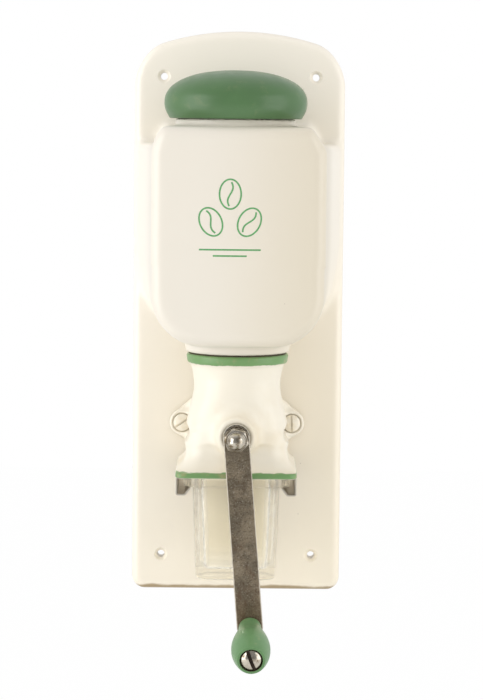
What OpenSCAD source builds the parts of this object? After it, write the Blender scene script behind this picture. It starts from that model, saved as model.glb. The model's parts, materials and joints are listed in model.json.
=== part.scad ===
// Wall coffee mill with a ceramic backplate and bean hopper, a cast grinding mill below it,
// a hand crank in front and a drawer glass that hangs in two rails.
// Frame: X to the right, Y into the wall, Z up. The wall is the plane Y = 0 and the origin is
// the middle of the four wall-screw holes. "Depth" is the distance in front of the wall, -Y.

/* [Backplate] */
// Width of the ceramic backplate
plate_w = 144; // [142:1:156]
// Height of the backplate's top above the middle of the wall screws
plate_top = 196; // [188:1:205]
// Depth of the backplate's lower edge below the middle of the wall screws
plate_bottom = 189.5; // [182:0.5:200]
// Thickness of the backplate
plate_t = 13; // [12:0.5:16]
// Radius of the arched top edge
arch_r = 175; // [170:5:260]
// Distance between the wall screws, left to right
wall_screw_dx = 104; // [100:1:110]
// Distance between the wall screws, top to bottom
wall_screw_dz = 330; // [320:1:336]
// Radius of a wall-screw hole
wall_screw_r = 2.5; // [2:0.25:3]

/* [Hopper] */
// Depth of the hopper's front face in front of the wall
hopper_front = 118; // [116:1:119]
// Half the width of the hopper's front
hopper_half_w = 56.5; // [54:0.5:58]
// Half the width of the hopper where it meets the backplate
hopper_half_w_back = 70; // [66:0.5:71]
// Height of the hopper's top
hopper_top = 131.5; // [128:0.5:134]
// Height of the hopper's underside
hopper_bottom = -12; // [-13:0.5:-11]
// Thickness of the ceramic wall
hopper_wall = 6; // [5:0.5:7]
// Depth of the vertical axis of the hopper's neck, the lid and the mill's throat
axis_depth = 66; // [65:0.5:67]
// How far the hopper's neck and the lid sit right of the middle
neck_x = -2.6; // [-3:0.1:3]

/* [Lid] */
// Largest radius of the lid
lid_r = 47.5; // [45:0.5:48]
// Height of the lid above its widest line
lid_dome = 21.5; // [18:0.5:26]

/* [Mill] */
// Height of the crank shaft's axis
shaft_z = -71.5; // [-72:0.5:-71]
// Radius of the crank shaft
shaft_r = 6; // [5.9:0.05:6]
// Radius of the mill's horizontal barrel
barrel_r = 31.5; // [31:0.25:32]
// Half the width of the mill's bottom flange
flange_half_w = 40; // [39.5:0.5:41]

/* [Crank] */
// Distance from the shaft to the knob's spindle
crank_r = 121; // [110:1:130]
// Angle of the resting crank away from straight down
crank_rest_angle = 4.7; // [0:0.1:10]
// Width of the crank arm
arm_w = 17; // [15:0.5:18]
// Thickness of the crank arm
arm_t = 4; // [3.5:0.5:4]
// How far the knob leans away from the crank's axis of turning
knob_lean = 9.5; // [6:0.5:12]
// Length of the knob
knob_l = 58; // [54:1:62]

/* [Drawer glass] */
// Half the width of the glass rim
rim_half_w = 35.7; // [35:0.1:36]
// Height of the drawer glass
glass_h = 68.8; // [60:0.2:75]
// Thickness of the glass wall
glass_wall = 5.5; // [4.5:0.5:6]

/* [Hidden] */
$fn = 64;

gap = 0.05;                       // running clearance of a shaft in its hole
plate_corner_r = 20;              // where the arch turns into the sides
plate_foot_r = 9;                 // lower corners
plate_relief = 3;                 // shallow relief in the back
plate_foot_ring = 10;             // width of the back's flat border
wall_boss_r = 9;
countersink_r = 5.5;
countersink_t = 3;
arch_z = plate_top - arch_r;
corner_x = plate_w / 2 - plate_corner_r;
corner_z = arch_z + sqrt(pow(arch_r - plate_corner_r, 2) - pow(corner_x, 2));

hopper_round = 34;                // radius of the hopper's lower corners
chamfer_x = 8;                    // hopper's upper corners are cut off by this much
chamfer_z = 12;
shoulder_z = 120;                 // top of the flared sides
flare_start_z = 62;               // the flared sides narrow below this height
flare_curve = 300;                // the larger, the straighter the narrowing sides
neck_r = 40;
neck_h = 5;
neck_bore_r = 36;
collar_r = 36.3;
collar_bottom = -18.5;
throat_r = 20;

lid_seat_z = hopper_top + neck_h;
lid_widest_z = lid_seat_z + 10.5;
lid_under_b = 26;                 // the lid's underside is part of an ellipse this tall
lid_power = 2.25;                 // the dome's superellipse exponent
plug_r = 35.2;
plug_h = 9;

gasket_t = 1;
housing_top = collar_bottom - gasket_t;
top_flange_r = 33.4;
top_flange_t = 6;
flange_top = -95.5;
flange_t = 3.5;
flange_bottom = flange_top - flange_t;
flange_back = 22;                 // depths
flange_front = 104;
barrel_back = flange_back;
barrel_front = 92;
boss_front = 108;
boss_r = 13;
bush_r = 9;
burr_seat_r = 23;
burr_back = 40;                   // depths of the outer burr
burr_front = 58;
feed_r = 20;
feed_front = 88;
ear_x = 37.7;
ear_z = -72;
ear_r = 8.6;
ear_front = 21;
cover_r = 27.5;
cover_front = barrel_back;
cover_t = 4;

hub_depth = 120;                  // depth of the arm's middle plane at the shaft
arm_end_depth = 131;              // and at the knob
arm_flat = 10;                    // the arm is flat this far from the shaft
square = 8.2;                     // side of the shaft's square end

rail_t = 1.2;
rail_out = 40.3;
rail_floor_z = -111.7;
rail_lip_x = 29.9;
rail_lip_z = -106.4;
rail_back = 20;
rail_front = 99;
rim_top = flange_bottom - rail_t - 0.5;
rim_t = 5.3;
rim_back = 17;
rim_front = 97;
glass_half_w = 28.9;

// Points the local z axis forward, away from the wall, from a given depth. The local x and y
// axes are then X and Z.
module forward(depth) {
    translate([0, -depth, 0]) rotate([90, 0, 0]) children();
}

// A disc or tube along the shaft's axis, between two depths.
module shaft_tube(d0, d1, r, bore = 0) {
    translate([0, 0, shaft_z]) forward(d0) difference() {
        cylinder(h = d1 - d0, r = r);
        if (bore > 0) translate([0, 0, -1]) cylinder(h = d1 - d0 + 2, r = bore);
    }
}

// Places children on each wall screw's axis.
module at_wall_screws() {
    for (sx = [-1, 1], sz = [-1, 1])
        translate([sx * wall_screw_dx / 2, 0, sz * wall_screw_dz / 2]) forward(0) children();
}

// Places children on each ear's axis.
module at_ears(depth) {
    for (sx = [-1, 1]) translate([sx * ear_x, 0, ear_z]) forward(depth) children();
}

// Turns the crank's own parts from straight down to the resting angle.
module at_crank() {
    translate([0, 0, shaft_z]) rotate([0, -crank_rest_angle, 0]) children();
}

// The knob's frame: its z axis runs along the spindle and starts in the middle of the arm.
module at_knob() {
    at_crank() translate([0, -arm_end_depth, -crank_r]) rotate([90 + knob_lean, 0, 0]) children();
}

// Rounded rectangle from (x0, y0) to (x1, y1).
module rounded_rect(x0, y0, x1, y1, r) {
    for (x = [x0 + r, x1 - r], y = [y0 + r, y1 - r]) translate([x, y]) circle(r);
    translate([x0 + r, y0]) square([x1 - x0 - 2 * r, y1 - y0]);
    translate([x0, y0 + r]) square([x1 - x0, y1 - y0 - 2 * r]);
}

// Hexagon nut blank along local z.
module hex(across, h) {
    cylinder(h = h, r = across / sqrt(3), $fn = 6);
}

// Round slotted screw head: a slice of a sphere of radius r_head and height h.
module slotted_head(r_head, h, slot_w, slot_turn) {
    ball_r = (r_head * r_head + h * h) / (2 * h);
    difference() {
        intersection() {
            translate([0, 0, h - ball_r]) sphere(ball_r);
            cylinder(h = h + 1, r = r_head);
        }
        rotate(slot_turn) translate([-r_head - 1, -slot_w / 2, h * 0.45]) cube([2 * r_head + 2, slot_w, h]);
    }
}

// ---- ceramic body ----

module plate_outline(inset) {
    intersection() {
        translate([0, arch_z]) circle(arch_r - inset, $fn = 180);
        polygon([[0, arch_z], [-corner_x * 2, arch_z + (corner_z - arch_z) * 2],
                 [corner_x * 2, arch_z + (corner_z - arch_z) * 2]]);
    }
    for (sx = [-1, 1]) {
        translate([sx * corner_x, corner_z]) circle(plate_corner_r - inset);
        translate([sx * (plate_w / 2 - plate_foot_r), plate_foot_r - plate_bottom])
            circle(max(plate_foot_r - inset, 0.5));
    }
    translate([-plate_w / 2 + inset, plate_foot_r - plate_bottom])
        square([plate_w - 2 * inset, corner_z + plate_bottom - plate_foot_r]);
    translate([-plate_w / 2 + max(plate_foot_r, inset), inset - plate_bottom])
        square([plate_w - 2 * max(plate_foot_r, inset), plate_bottom]);
}

// The hopper's outline from the front, drawn in by inset.
module hopper_outline(inset) {
    half_w = hopper_half_w - inset;
    round_x = hopper_half_w - hopper_round;
    round_z = hopper_bottom + hopper_round;
    for (sx = [-1, 1]) translate([sx * round_x, round_z]) circle(hopper_round - inset);
    translate([-round_x, hopper_bottom + inset]) square([2 * round_x, hopper_round]);
    polygon([[-half_w, round_z], [half_w, round_z], [half_w, hopper_top - chamfer_z - inset / 2],
             [half_w - chamfer_x + inset / 3, hopper_top - inset],
             [-half_w + chamfer_x - inset / 3, hopper_top - inset],
             [-half_w, hopper_top - chamfer_z - inset / 2]]);
}

// Half width of the flared sides at a height, where they meet the backplate.
function flare_x(z) = hopper_half_w_back - pow(max(flare_start_z - z, 0), 2) / flare_curve;

// The hopper's sides spread towards the backplate.
module flared_sides(inset) {
    top = shoulder_z - inset;
    heights = [for (z = [flare_start_z:-10:2]) z];
    right = [for (z = heights) [flare_x(z) - inset, z]];
    left = [for (i = [len(heights) - 1:-1:0]) [-flare_x(heights[i]) + inset, heights[i]]];
    front_x = hopper_half_w - inset - 0.2;
    hull() {
        forward(plate_t - 1) linear_extrude(1)
            polygon(concat([[-flare_x(top) + inset + 4, top], [flare_x(top) - inset - 4, top],
                            [flare_x(top) - inset, top - 6]], right, left,
                           [[-flare_x(top) + inset, top - 6]]));
        forward(hopper_front - 12) linear_extrude(1)
            polygon([[-front_x, top - 2], [front_x, top - 2], [front_x, 24], [front_x - 8, 8],
                     [-front_x + 8, 8], [-front_x, 24]]);
    }
}

module ceramic_body() {
    color([0.93, 0.90, 0.83]) difference() {
        union() {
            forward(0) linear_extrude(plate_t) plate_outline(0);
            forward(plate_t - 1) linear_extrude(hopper_front - plate_t + 1) hopper_outline(0);
            flared_sides(0);
            translate([neck_x, -axis_depth, hopper_top - 1]) cylinder(h = neck_h + 1, r = neck_r);
            translate([0, -axis_depth, collar_bottom])
                cylinder(h = hopper_bottom + 4 - collar_bottom, r1 = collar_r - 2, r2 = collar_r);
        }
        forward(plate_t) linear_extrude(hopper_front - hopper_wall - plate_t) hopper_outline(hopper_wall);
        intersection() {
            flared_sides(hopper_wall);
            forward(plate_t) linear_extrude(hopper_front) square(400, center = true);
        }
        translate([neck_x, -axis_depth, hopper_top - hopper_wall - 1]) cylinder(h = 20, r = neck_bore_r);
        translate([0, -axis_depth, collar_bottom - 1]) cylinder(h = 30, r = throat_r);
        translate([0, -axis_depth, collar_bottom + 4])
            cylinder(h = 12, r1 = throat_r, r2 = throat_r + 14);
        forward(-1) linear_extrude(plate_relief + 1) difference() {
            plate_outline(plate_foot_ring);
            for (sx = [-1, 1], sz = [-1, 1])
                translate([sx * wall_screw_dx / 2, sz * wall_screw_dz / 2]) circle(wall_boss_r);
        }
        at_wall_screws() {
            translate([0, 0, -1]) cylinder(h = plate_t + 2, r = wall_screw_r);
            translate([0, 0, plate_t - countersink_t])
                cylinder(h = countersink_t + 0.01, r1 = wall_screw_r, r2 = countersink_r);
        }
        at_ears(-1) {
            cylinder(h = plate_t + 2, r = 3.2);
            cylinder(h = 8, r = 8);
        }
    }
}

// ---- mill housing and what is fixed to it ----

module throat_gasket() {
    color([0.12, 0.12, 0.11]) translate([0, -axis_depth, housing_top]) difference() {
        cylinder(h = gasket_t, r = top_flange_r - 1);
        translate([0, 0, -1]) cylinder(h = gasket_t + 2, r = throat_r + 7);
    }
}

module housing_shape() {
    translate([0, -axis_depth, 0]) {
        translate([0, 0, housing_top - top_flange_t]) cylinder(h = top_flange_t, r = top_flange_r);
        rotate_extrude() polygon([[0, housing_top - top_flange_t], [31.6, housing_top - top_flange_t],
            [29.8, -30], [28.9, -37], [29, -46], [29.8, -58], [31, shaft_z], [0, shaft_z]]);
    }
    shaft_tube(barrel_back, barrel_front, barrel_r);
    translate([0, 0, shaft_z]) forward(barrel_front - 0.01) {
        cylinder(h = 9, r1 = barrel_r, r2 = boss_r + 6);
        cylinder(h = boss_front - barrel_front, r = boss_r);
    }
    hull() {
        translate([-31.5, -barrel_front, shaft_z - 8]) cube([63, barrel_front - barrel_back, 1]);
        translate([-flange_half_w + 2, -flange_front + 2, flange_top])
            cube([2 * flange_half_w - 4, flange_front - 2 - barrel_back, 1]);
    }
    translate([0, 0, flange_bottom]) linear_extrude(flange_t)
        rounded_rect(-flange_half_w, -flange_front, flange_half_w, -flange_back, 6);
    at_ears(plate_t) cylinder(h = ear_front - plate_t, r = ear_r);
    for (sx = [-1, 1]) {
        translate([sx * (ear_x + cover_r + 1) / 2, -(plate_t + ear_front) / 2, ear_z])
            cube([ear_x - cover_r - 1, ear_front - plate_t, 2 * ear_r - 1], center = true);
        translate([sx * 30, -(plate_t + 40) / 2, ear_z]) cube([3, 40 - plate_t, 22], center = true);
    }
}

module mill_housing() {
    color([0.96, 0.94, 0.88]) difference() {
        housing_shape();
        translate([-100, -200, flange_bottom - 100]) cube([200, 200, 100]);
        // throat: a funnel that narrows towards the feed chamber
        translate([0, -axis_depth, housing_top - 22]) cylinder(h = 22.01, r1 = 17, r2 = 27);
        translate([0, -72, shaft_z]) cylinder(h = -shaft_z + housing_top - 10, r = 15);
        // burr seat, feed chamber and front bush
        shaft_tube(barrel_back - 1, burr_front, burr_seat_r);
        shaft_tube(burr_front - 1, feed_front, feed_r);
        shaft_tube(feed_front - 1, boss_front + 1, bush_r);
        // outlet for the ground coffee
        translate([-16, -burr_back, flange_bottom - 1]) cube([32, burr_back - 26, 30]);
        at_ears(plate_t - 1) {
            cylinder(h = 20, r = 3.2);
            translate([0, 0, ear_front - plate_t - 1]) cylinder(h = 20, r = 6.6);
        }
        translate([0, -49, flange_bottom - 1]) cylinder(h = 8, r = 2);
        at_cover_screws(barrel_back - 1) cylinder(h = 9, r = 1.6);
        at_rail_screws() cylinder(h = 8, r = 1.6);
    }
}

// Raised slotted screws through the ears, with washers and nuts behind the ceramic plate.
module housing_screws() {
    color([0.95, 0.93, 0.87]) for (sx = [-1, 1]) translate([sx * ear_x, 0, ear_z]) {
        forward(2) cylinder(h = ear_front - 4, r = 2.95);
        forward(ear_front - 2) {
            cylinder(h = 2, r = 5.9);
            translate([0, 0, 2]) slotted_head(5.9, 1.6, 1.2, sx < 0 ? 35 : 92);
        }
    }
}

module housing_washers() {
    color([0.75, 0.75, 0.76]) at_ears(6) difference() {
        cylinder(h = 1, r = 7);
        translate([0, 0, -1]) cylinder(h = 3, r = 3.2);
    }
}

module housing_nuts() {
    color([0.75, 0.75, 0.76]) at_ears(1.5) difference() {
        hex(10, 4.5);
        translate([0, 0, -1]) cylinder(h = 7, r = 3);
    }
}

module at_cover_screws(depth) {
    for (a = [90, 210, 330]) translate([0, 0, shaft_z]) forward(depth) rotate(a) translate([25, 0, 0]) children();
}

// Closes the barrel behind the burrs and carries the rear bush.
module rear_cover() {
    color([0.45, 0.45, 0.44]) difference() {
        union() {
            shaft_tube(cover_front - cover_t, cover_front, cover_r);
            shaft_tube(cover_front - cover_t - 2.5, cover_front + 4, 12);
        }
        shaft_tube(0, 60, bush_r - 1);
        at_cover_screws(0) cylinder(h = 40, r = 1.7);
    }
}

module rear_cover_screws() {
    color([0.7, 0.7, 0.7]) at_cover_screws(cover_front - cover_t) {
        cylinder(h = 11, r = 1.6);
        translate([0, 0, -1.8]) cylinder(h = 1.8, r = 2.9);
    }
}

module rear_bush() {
    color([0.72, 0.55, 0.3]) shaft_tube(cover_front - cover_t - 2.5, cover_front + 4, bush_r - 1, shaft_r + gap);
}

module front_bush() {
    color([0.72, 0.55, 0.3]) shaft_tube(feed_front, boss_front, bush_r, shaft_r + gap);
}

// Fixed ring burr with grooves in its tapered bore.
module outer_burr() {
    color([0.42, 0.42, 0.43]) difference() {
        shaft_tube(burr_back, burr_front, burr_seat_r - gap);
        translate([0, 0, shaft_z]) forward(burr_back - 0.01) {
            cylinder(h = burr_front - burr_back + 0.02, r1 = 18.6, r2 = 17);
            for (i = [0:17]) rotate(i * 20) translate([18.2, 0, -1]) rotate(45)
                cube([1.8, 1.8, 60], center = true);
        }
        translate([0, -49, flange_bottom - 1]) cylinder(h = 6, r = 2.05);
    }
}

module outer_burr_grub_screw() {
    color([0.4, 0.4, 0.4]) translate([0, -49, flange_bottom + 0.5]) difference() {
        cylinder(h = 4, r = 1.95);
        translate([-3, -0.4, -0.1]) cube([6, 0.8, 1.1]);
    }
}

module thrust_washer() {
    color([0.72, 0.55, 0.3]) shaft_tube(boss_front, boss_front + 1.2, 8.4, shaft_r + 0.1);
}

// ---- drawer rails and glass ----

module rail_profile() {
    w = rail_t;
    slope = 0.62;   // run of the lip for each millimetre of rise
    rise = rail_lip_z - rail_floor_z;
    foot_x = rail_lip_x + slope * rise;
    polygon([[30.5, flange_bottom], [rail_out, flange_bottom], [rail_out, rail_floor_z],
             [foot_x, rail_floor_z], [rail_lip_x, rail_lip_z], [rail_lip_x + w, rail_lip_z],
             [foot_x + w * 0.5, rail_floor_z + w], [rail_out - w, rail_floor_z + w],
             [rail_out - w, flange_bottom - w], [30.5, flange_bottom - w]]);
}

module rail() {
    color([0.78, 0.76, 0.72]) difference() {
        forward(rail_back) linear_extrude(rail_front - rail_back) rail_profile();
        at_rail_screws() cylinder(h = 12, r = 1.7);
        at_rail_screws() translate([0, 0, 2]) cylinder(h = 1.1, r1 = 2.8, r2 = 1.7);
    }
}

module rail_right() {
    rail();
}

module rail_left() {
    mirror([1, 0, 0]) rail();
}

module at_rail_screws() {
    for (sx = [-1, 1], d = [32, 88]) translate([sx * 34, -d, flange_bottom - rail_t - 2]) children();
}

module rail_screws() {
    color([0.7, 0.69, 0.66]) at_rail_screws() {
        translate([0, 0, 2]) cylinder(h = 5.2, r = 1.55);
        translate([0, 0, 2.05]) cylinder(h = 1, r1 = 2.65, r2 = 1.6);
    }
}

module glass_slab(z, h, half_w, back, front, r) {
    translate([0, 0, z]) linear_extrude(h) rounded_rect(-half_w, -front, half_w, -back, r);
}

// Pressed glass drawer: a tapered cup that hangs by its rim.
module drawer_glass() {
    z0 = rim_top - glass_h;
    color([0.8, 0.88, 0.85, 0.4]) difference() {
        union() {
            glass_slab(rim_top - rim_t, rim_t, rim_half_w, rim_back, rim_front, 5);
            hull() {
                glass_slab(rim_top - rim_t - 1, 2, glass_half_w, 20, 94, 8, $fn = 32);
                glass_slab(z0, 1, glass_half_w - 2.2, 23, 91, 8, $fn = 32);
            }
        }
        hull() {
            glass_slab(rim_top + 1, 1, glass_half_w - glass_wall + 0.2, 25.5, 88.5, 5, $fn = 32);
            glass_slab(z0 + 7, 1, glass_half_w - 2.2 - glass_wall, 28.5, 85.5, 5, $fn = 32);
        }
    }
}

// ---- crank group ----

module main_shaft() {
    color([0.55, 0.54, 0.52]) difference() {
        union() {
            shaft_tube(17, hub_depth - arm_t / 2, shaft_r);
            at_crank() translate([0, -hub_depth, 0]) cube([square, arm_t, square], center = true);
            shaft_tube(hub_depth, hub_depth + 12, 3.95);
        }
        at_crank() translate([0, -49, 0]) rotate([0, 90, 0]) cylinder(h = 40, r = 1.55, center = true);
    }
}

// Cone burr that turns inside the ring burr.
module inner_burr() {
    color([0.40, 0.40, 0.41]) difference() {
        translate([0, 0, shaft_z]) forward(burr_back + 0.4)
            cylinder(h = burr_front + 1 - burr_back, r1 = 17.6, r2 = 9.6);
        shaft_tube(0, 100, shaft_r + gap);
        translate([0, 0, shaft_z]) forward(0) for (i = [0:11])
            rotate(i * 30) translate([17.4, 0, 50]) rotate([0, -22.8, 0]) rotate([0, 0, 45])
                cube([2.2, 2.2, 60], center = true);
        at_crank() translate([0, -49, 0]) rotate([0, 90, 0]) cylinder(h = 60, r = 1.55, center = true);
    }
}

module burr_pin() {
    color([0.6, 0.6, 0.6]) at_crank() translate([0, -49, 0]) rotate([0, 90, 0])
        cylinder(h = 22, r = 1.5, center = true);
}

// Two-start worm that draws the beans into the burrs.
module feed_worm() {
    color([0.45, 0.45, 0.45]) translate([0, 0, shaft_z]) forward(60) linear_extrude(15, twist = 200, slices = 14, segments = 28)
        difference() {
            union() {
                circle(8.4, $fn = 20);
                square([29, 3], center = true);
            }
            circle(shaft_r + 0.3, $fn = 20);
        }
}

spring_turns = 3;
spring_steps = 20;                // rings in each turn
spring_sides = 8;
spring_wire_r = 0.7;
spring_mean_r = 7.6;
spring_l = 10.4;
spring_n = spring_turns * spring_steps;

function coil_point(i, j) =
    let (a = 360 * i / spring_steps, b = 360 * j / spring_sides,
         r = spring_mean_r + spring_wire_r * cos(b))
    [r * cos(a), r * sin(a), spring_l * i / spring_n + spring_wire_r * sin(b)];

// Pushes the cone burr away from the ring burr.
module shaft_spring() {
    points = [for (i = [0:spring_n], j = [0:spring_sides - 1]) coil_point(i, j)];
    sides = [for (i = [0:spring_n - 1], j = [0:spring_sides - 1])
        let (k = (j + 1) % spring_sides)
        [i * spring_sides + j, (i + 1) * spring_sides + j, (i + 1) * spring_sides + k, i * spring_sides + k]];
    first = [for (j = [0:spring_sides - 1]) j];
    last = [for (j = [spring_sides - 1:-1:0]) spring_n * spring_sides + j];
    color([0.6, 0.6, 0.58]) translate([0, 0, shaft_z]) forward(76.3)
        polyhedron(points, concat(sides, [first, last]));
}

// Depth of the arm's middle line at a distance r from the shaft: flat at the shaft, then bowed
// forward, and leaning back by knob_lean at the knob.
arm_span = crank_r - arm_flat;
function bow(t) = (arm_end_depth - hub_depth) * (3 * t * t - 2 * t * t * t)
    - tan(knob_lean) * arm_span * (t * t * t - t * t);
function bow_slope(t) = ((arm_end_depth - hub_depth) * 6 * t * (1 - t)
    - tan(knob_lean) * arm_span * (3 * t * t - 2 * t)) / arm_span;
// One point of the arm's side view, as [Y, Z], on its front (side = 1) or back (side = -1).
function arm_point(t, side) =
    let (m = bow_slope(t), n = side * arm_t / 2 / sqrt(1 + m * m))
    [-(hub_depth + bow(t) + n), -(arm_flat + t * arm_span - m * n)];
arm_tail = arm_w / 2 + 2;

module crank_arm() {
    steps = [for (t = [0:0.0625:1]) t];
    front = [for (t = steps) arm_point(t, 1)];
    back = [for (i = [len(steps) - 1:-1:0]) arm_point(steps[i], -1)];
    tail = [-sin(knob_lean), -cos(knob_lean)] * arm_tail;
    tail_step = [-tail[0], tail[1]];
    outline = concat([[-hub_depth - arm_t / 2, 12]], front,
        [front[len(front) - 1] + tail_step, back[0] + tail_step], back, [[-hub_depth + arm_t / 2, 12]]);
    color([0.47, 0.44, 0.41]) at_crank() difference() {
        intersection() {
            rotate([90, 0, 90]) linear_extrude(arm_w, center = true) polygon(outline);
            forward(hub_depth - 10) linear_extrude(60) {
                circle(arm_w / 2);
                translate([0, -crank_r]) circle(arm_w / 2);
                translate([-arm_w / 2, -crank_r]) square([arm_w, crank_r]);
            }
        }
        translate([0, -hub_depth, 0]) cube([square + 0.1, 20, square + 0.1], center = true);
        translate([0, -arm_end_depth, -crank_r]) rotate([90 + knob_lean, 0, 0])
            cylinder(h = 20, r = 2.55, center = true);
    }
}

// Domed cap nut on the shaft's end.
module crank_nut() {
    color([0.62, 0.61, 0.58]) translate([0, 0, shaft_z]) rotate([0, 12.5, 0])
        forward(hub_depth + arm_t / 2) difference() {
            union() {
                hex(14.3, 6);
                cylinder(h = 8, r = 6.1);
                translate([0, 0, 8]) intersection() {
                    sphere(6.1);
                    cylinder(h = 10, r = 7);
                }
            }
            translate([0, 0, -1]) cylinder(h = 11.4, r = 4);
        }
}

// Knurled nut behind the arm that draws the cone burr forward.
module adjusting_nut() {
    color([0.6, 0.59, 0.56]) difference() {
        shaft_tube(boss_front + 1.5, hub_depth - arm_t / 2 - 0.4, 8.3, shaft_r + 0.06);
        translate([0, 0, shaft_z]) forward(boss_front) for (i = [0:17])
            rotate(i * 20) translate([8.5, 0, 0]) cylinder(h = 20, r = 0.6, $fn = 16);
    }
}

knob_start = arm_t / 2 + 1.2;
knob_end = knob_start + knob_l;
head_r = 7.1;

// Knob radius along its length: slim at the arm, widest near the front, rounded in at its end.
knob_profile = [[7.9, 0], [7.6, 0.10], [7.8, 0.2], [8.8, 0.33], [10.6, 0.46], [12.2, 0.58], [13, 0.7],
                [12.7, 0.8], [11.6, 0.89], [10, 0.96], [8.6, 1]];

module knob() {
    color([0.42, 0.62, 0.44]) at_knob() translate([0, 0, knob_start]) difference() {
        rotate_extrude() polygon(concat([[0, 0]], [for (p = knob_profile) [p[0], p[1] * knob_l]], [[0, knob_l]]));
        translate([0, 0, -1]) cylinder(h = knob_l + 2, r = 3.15 + gap);
        translate([0, 0, knob_l - 4]) cylinder(h = 5, r = head_r + 0.5);
    }
}

module knob_spindle() {
    color([0.75, 0.70, 0.62]) at_knob() {
        translate([0, 0, -6.5]) cylinder(h = knob_start + 6.3, r = 2.5);
        translate([0, 0, arm_t / 2]) cylinder(h = knob_end - 3.4 - arm_t / 2, r = 3.15);
        translate([0, 0, knob_end - 3.5]) cylinder(h = 2.5, r = head_r);
        translate([0, 0, knob_end - 1]) slotted_head(head_r, 3.4, 1.8, 106);
    }
}

module spindle_nut() {
    color([0.62, 0.61, 0.58]) at_knob() translate([0, 0, -arm_t / 2 - 4.35]) difference() {
        hex(9, 4.1);
        translate([0, 0, -1]) cylinder(h = 7, r = 2.55);
    }
}

module knob_washer() {
    color([0.72, 0.55, 0.3]) at_knob() translate([0, 0, arm_t / 2]) difference() {
        cylinder(h = 0.8, r = 6.5);
        translate([0, 0, -1]) cylinder(h = 3, r = 3.2);
    }
}

// ---- lid ----

module lid_cap() {
    dome = [for (a = [90:-7.5:0])
        [lid_r * pow(cos(a), 2 / lid_power), lid_widest_z + lid_dome * pow(sin(a), 2 / lid_power)]];
    under = [for (s = [0.25:0.25:1]) let (h = s * (lid_widest_z - lid_seat_z))
        [lid_r * sqrt(1 - pow(h / lid_under_b, 2)), lid_widest_z - h]];
    color([0.36, 0.58, 0.38]) translate([neck_x, -axis_depth, 0]) difference() {
        rotate_extrude() polygon(concat([[0, lid_widest_z + lid_dome]], dome, under, [[0, lid_seat_z]]));
        translate([0, 0, lid_seat_z - 1]) cylinder(h = 12, r = 1.9);
    }
}

module lid_plug() {
    color([0.72, 0.56, 0.38]) translate([neck_x, -axis_depth, lid_seat_z - plug_h]) difference() {
        cylinder(h = plug_h, r = plug_r);
        translate([0, 0, -1]) cylinder(h = plug_h + 2, r = 2.1);
    }
}

module lid_screw() {
    color([0.72, 0.6, 0.35]) translate([neck_x, -axis_depth, lid_seat_z - plug_h]) {
        cylinder(h = plug_h + 9, r = 1.8);
        mirror([0, 0, 1]) slotted_head(4.2, 2.2, 1, 20);
    }
}

ceramic_body();
throat_gasket();
mill_housing();
housing_screws();
housing_washers();
housing_nuts();
rear_cover();
rear_cover_screws();
rear_bush();
front_bush();
outer_burr();
outer_burr_grub_screw();
thrust_washer();
rail_left();
rail_right();
rail_screws();
main_shaft();
inner_burr();
burr_pin();
feed_worm();
shaft_spring();
crank_arm();
crank_nut();
adjusting_nut();
knob_spindle();
spindle_nut();
knob_washer();
knob();
lid_cap();
lid_plug();
lid_screw();
drawer_glass();
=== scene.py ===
"""Builds the looks of a wall coffee mill around its packed construction model.

Lengths in the functions are millimetres. "Depth" is the distance in front of the wall, -Y.
"""

import json
import math

import bmesh
import bpy
import numpy as np
from mathutils import Matrix, Vector


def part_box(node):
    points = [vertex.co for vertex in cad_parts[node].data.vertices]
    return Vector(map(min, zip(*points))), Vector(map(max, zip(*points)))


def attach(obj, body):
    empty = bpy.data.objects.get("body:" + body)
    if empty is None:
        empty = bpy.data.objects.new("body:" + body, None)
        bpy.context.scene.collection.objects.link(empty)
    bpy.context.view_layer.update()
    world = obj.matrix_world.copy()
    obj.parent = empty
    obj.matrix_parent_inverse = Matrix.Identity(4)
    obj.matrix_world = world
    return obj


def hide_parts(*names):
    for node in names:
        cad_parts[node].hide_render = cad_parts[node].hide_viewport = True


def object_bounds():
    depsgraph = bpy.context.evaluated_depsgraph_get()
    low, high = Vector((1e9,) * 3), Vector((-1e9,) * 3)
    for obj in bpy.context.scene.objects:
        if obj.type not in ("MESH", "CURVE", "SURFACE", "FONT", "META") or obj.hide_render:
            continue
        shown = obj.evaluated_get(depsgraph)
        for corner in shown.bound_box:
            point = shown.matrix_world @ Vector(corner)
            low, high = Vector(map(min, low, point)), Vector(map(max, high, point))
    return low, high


bl_info = {
    "name": "Wall coffee mill",
    "version": (1, 0, 0),
    "blender": (4, 5, 0),
    "location": "3D View > Sidebar > Coffee Mill",
    "description": "Models and finishes a ceramic wall coffee mill on its construction model",
    "category": "Object",
}

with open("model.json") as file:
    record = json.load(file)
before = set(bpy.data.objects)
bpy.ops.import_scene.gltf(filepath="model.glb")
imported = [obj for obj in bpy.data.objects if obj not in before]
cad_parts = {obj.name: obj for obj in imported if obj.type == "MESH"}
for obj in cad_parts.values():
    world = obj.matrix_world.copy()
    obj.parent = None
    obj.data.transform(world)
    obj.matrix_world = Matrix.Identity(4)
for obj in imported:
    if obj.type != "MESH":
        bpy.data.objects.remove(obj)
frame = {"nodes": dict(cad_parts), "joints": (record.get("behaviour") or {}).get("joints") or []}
CAD_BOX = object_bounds()
MM = 0.001


def joint(name):
    """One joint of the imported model, by name."""
    return next(j for j in frame["joints"] if j["name"] == name)


def node_box(node):
    """Lowest and highest corner of a construction node, in millimetres."""
    low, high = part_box(node)
    return np.array(low) / MM, np.array(high) / MM


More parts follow.
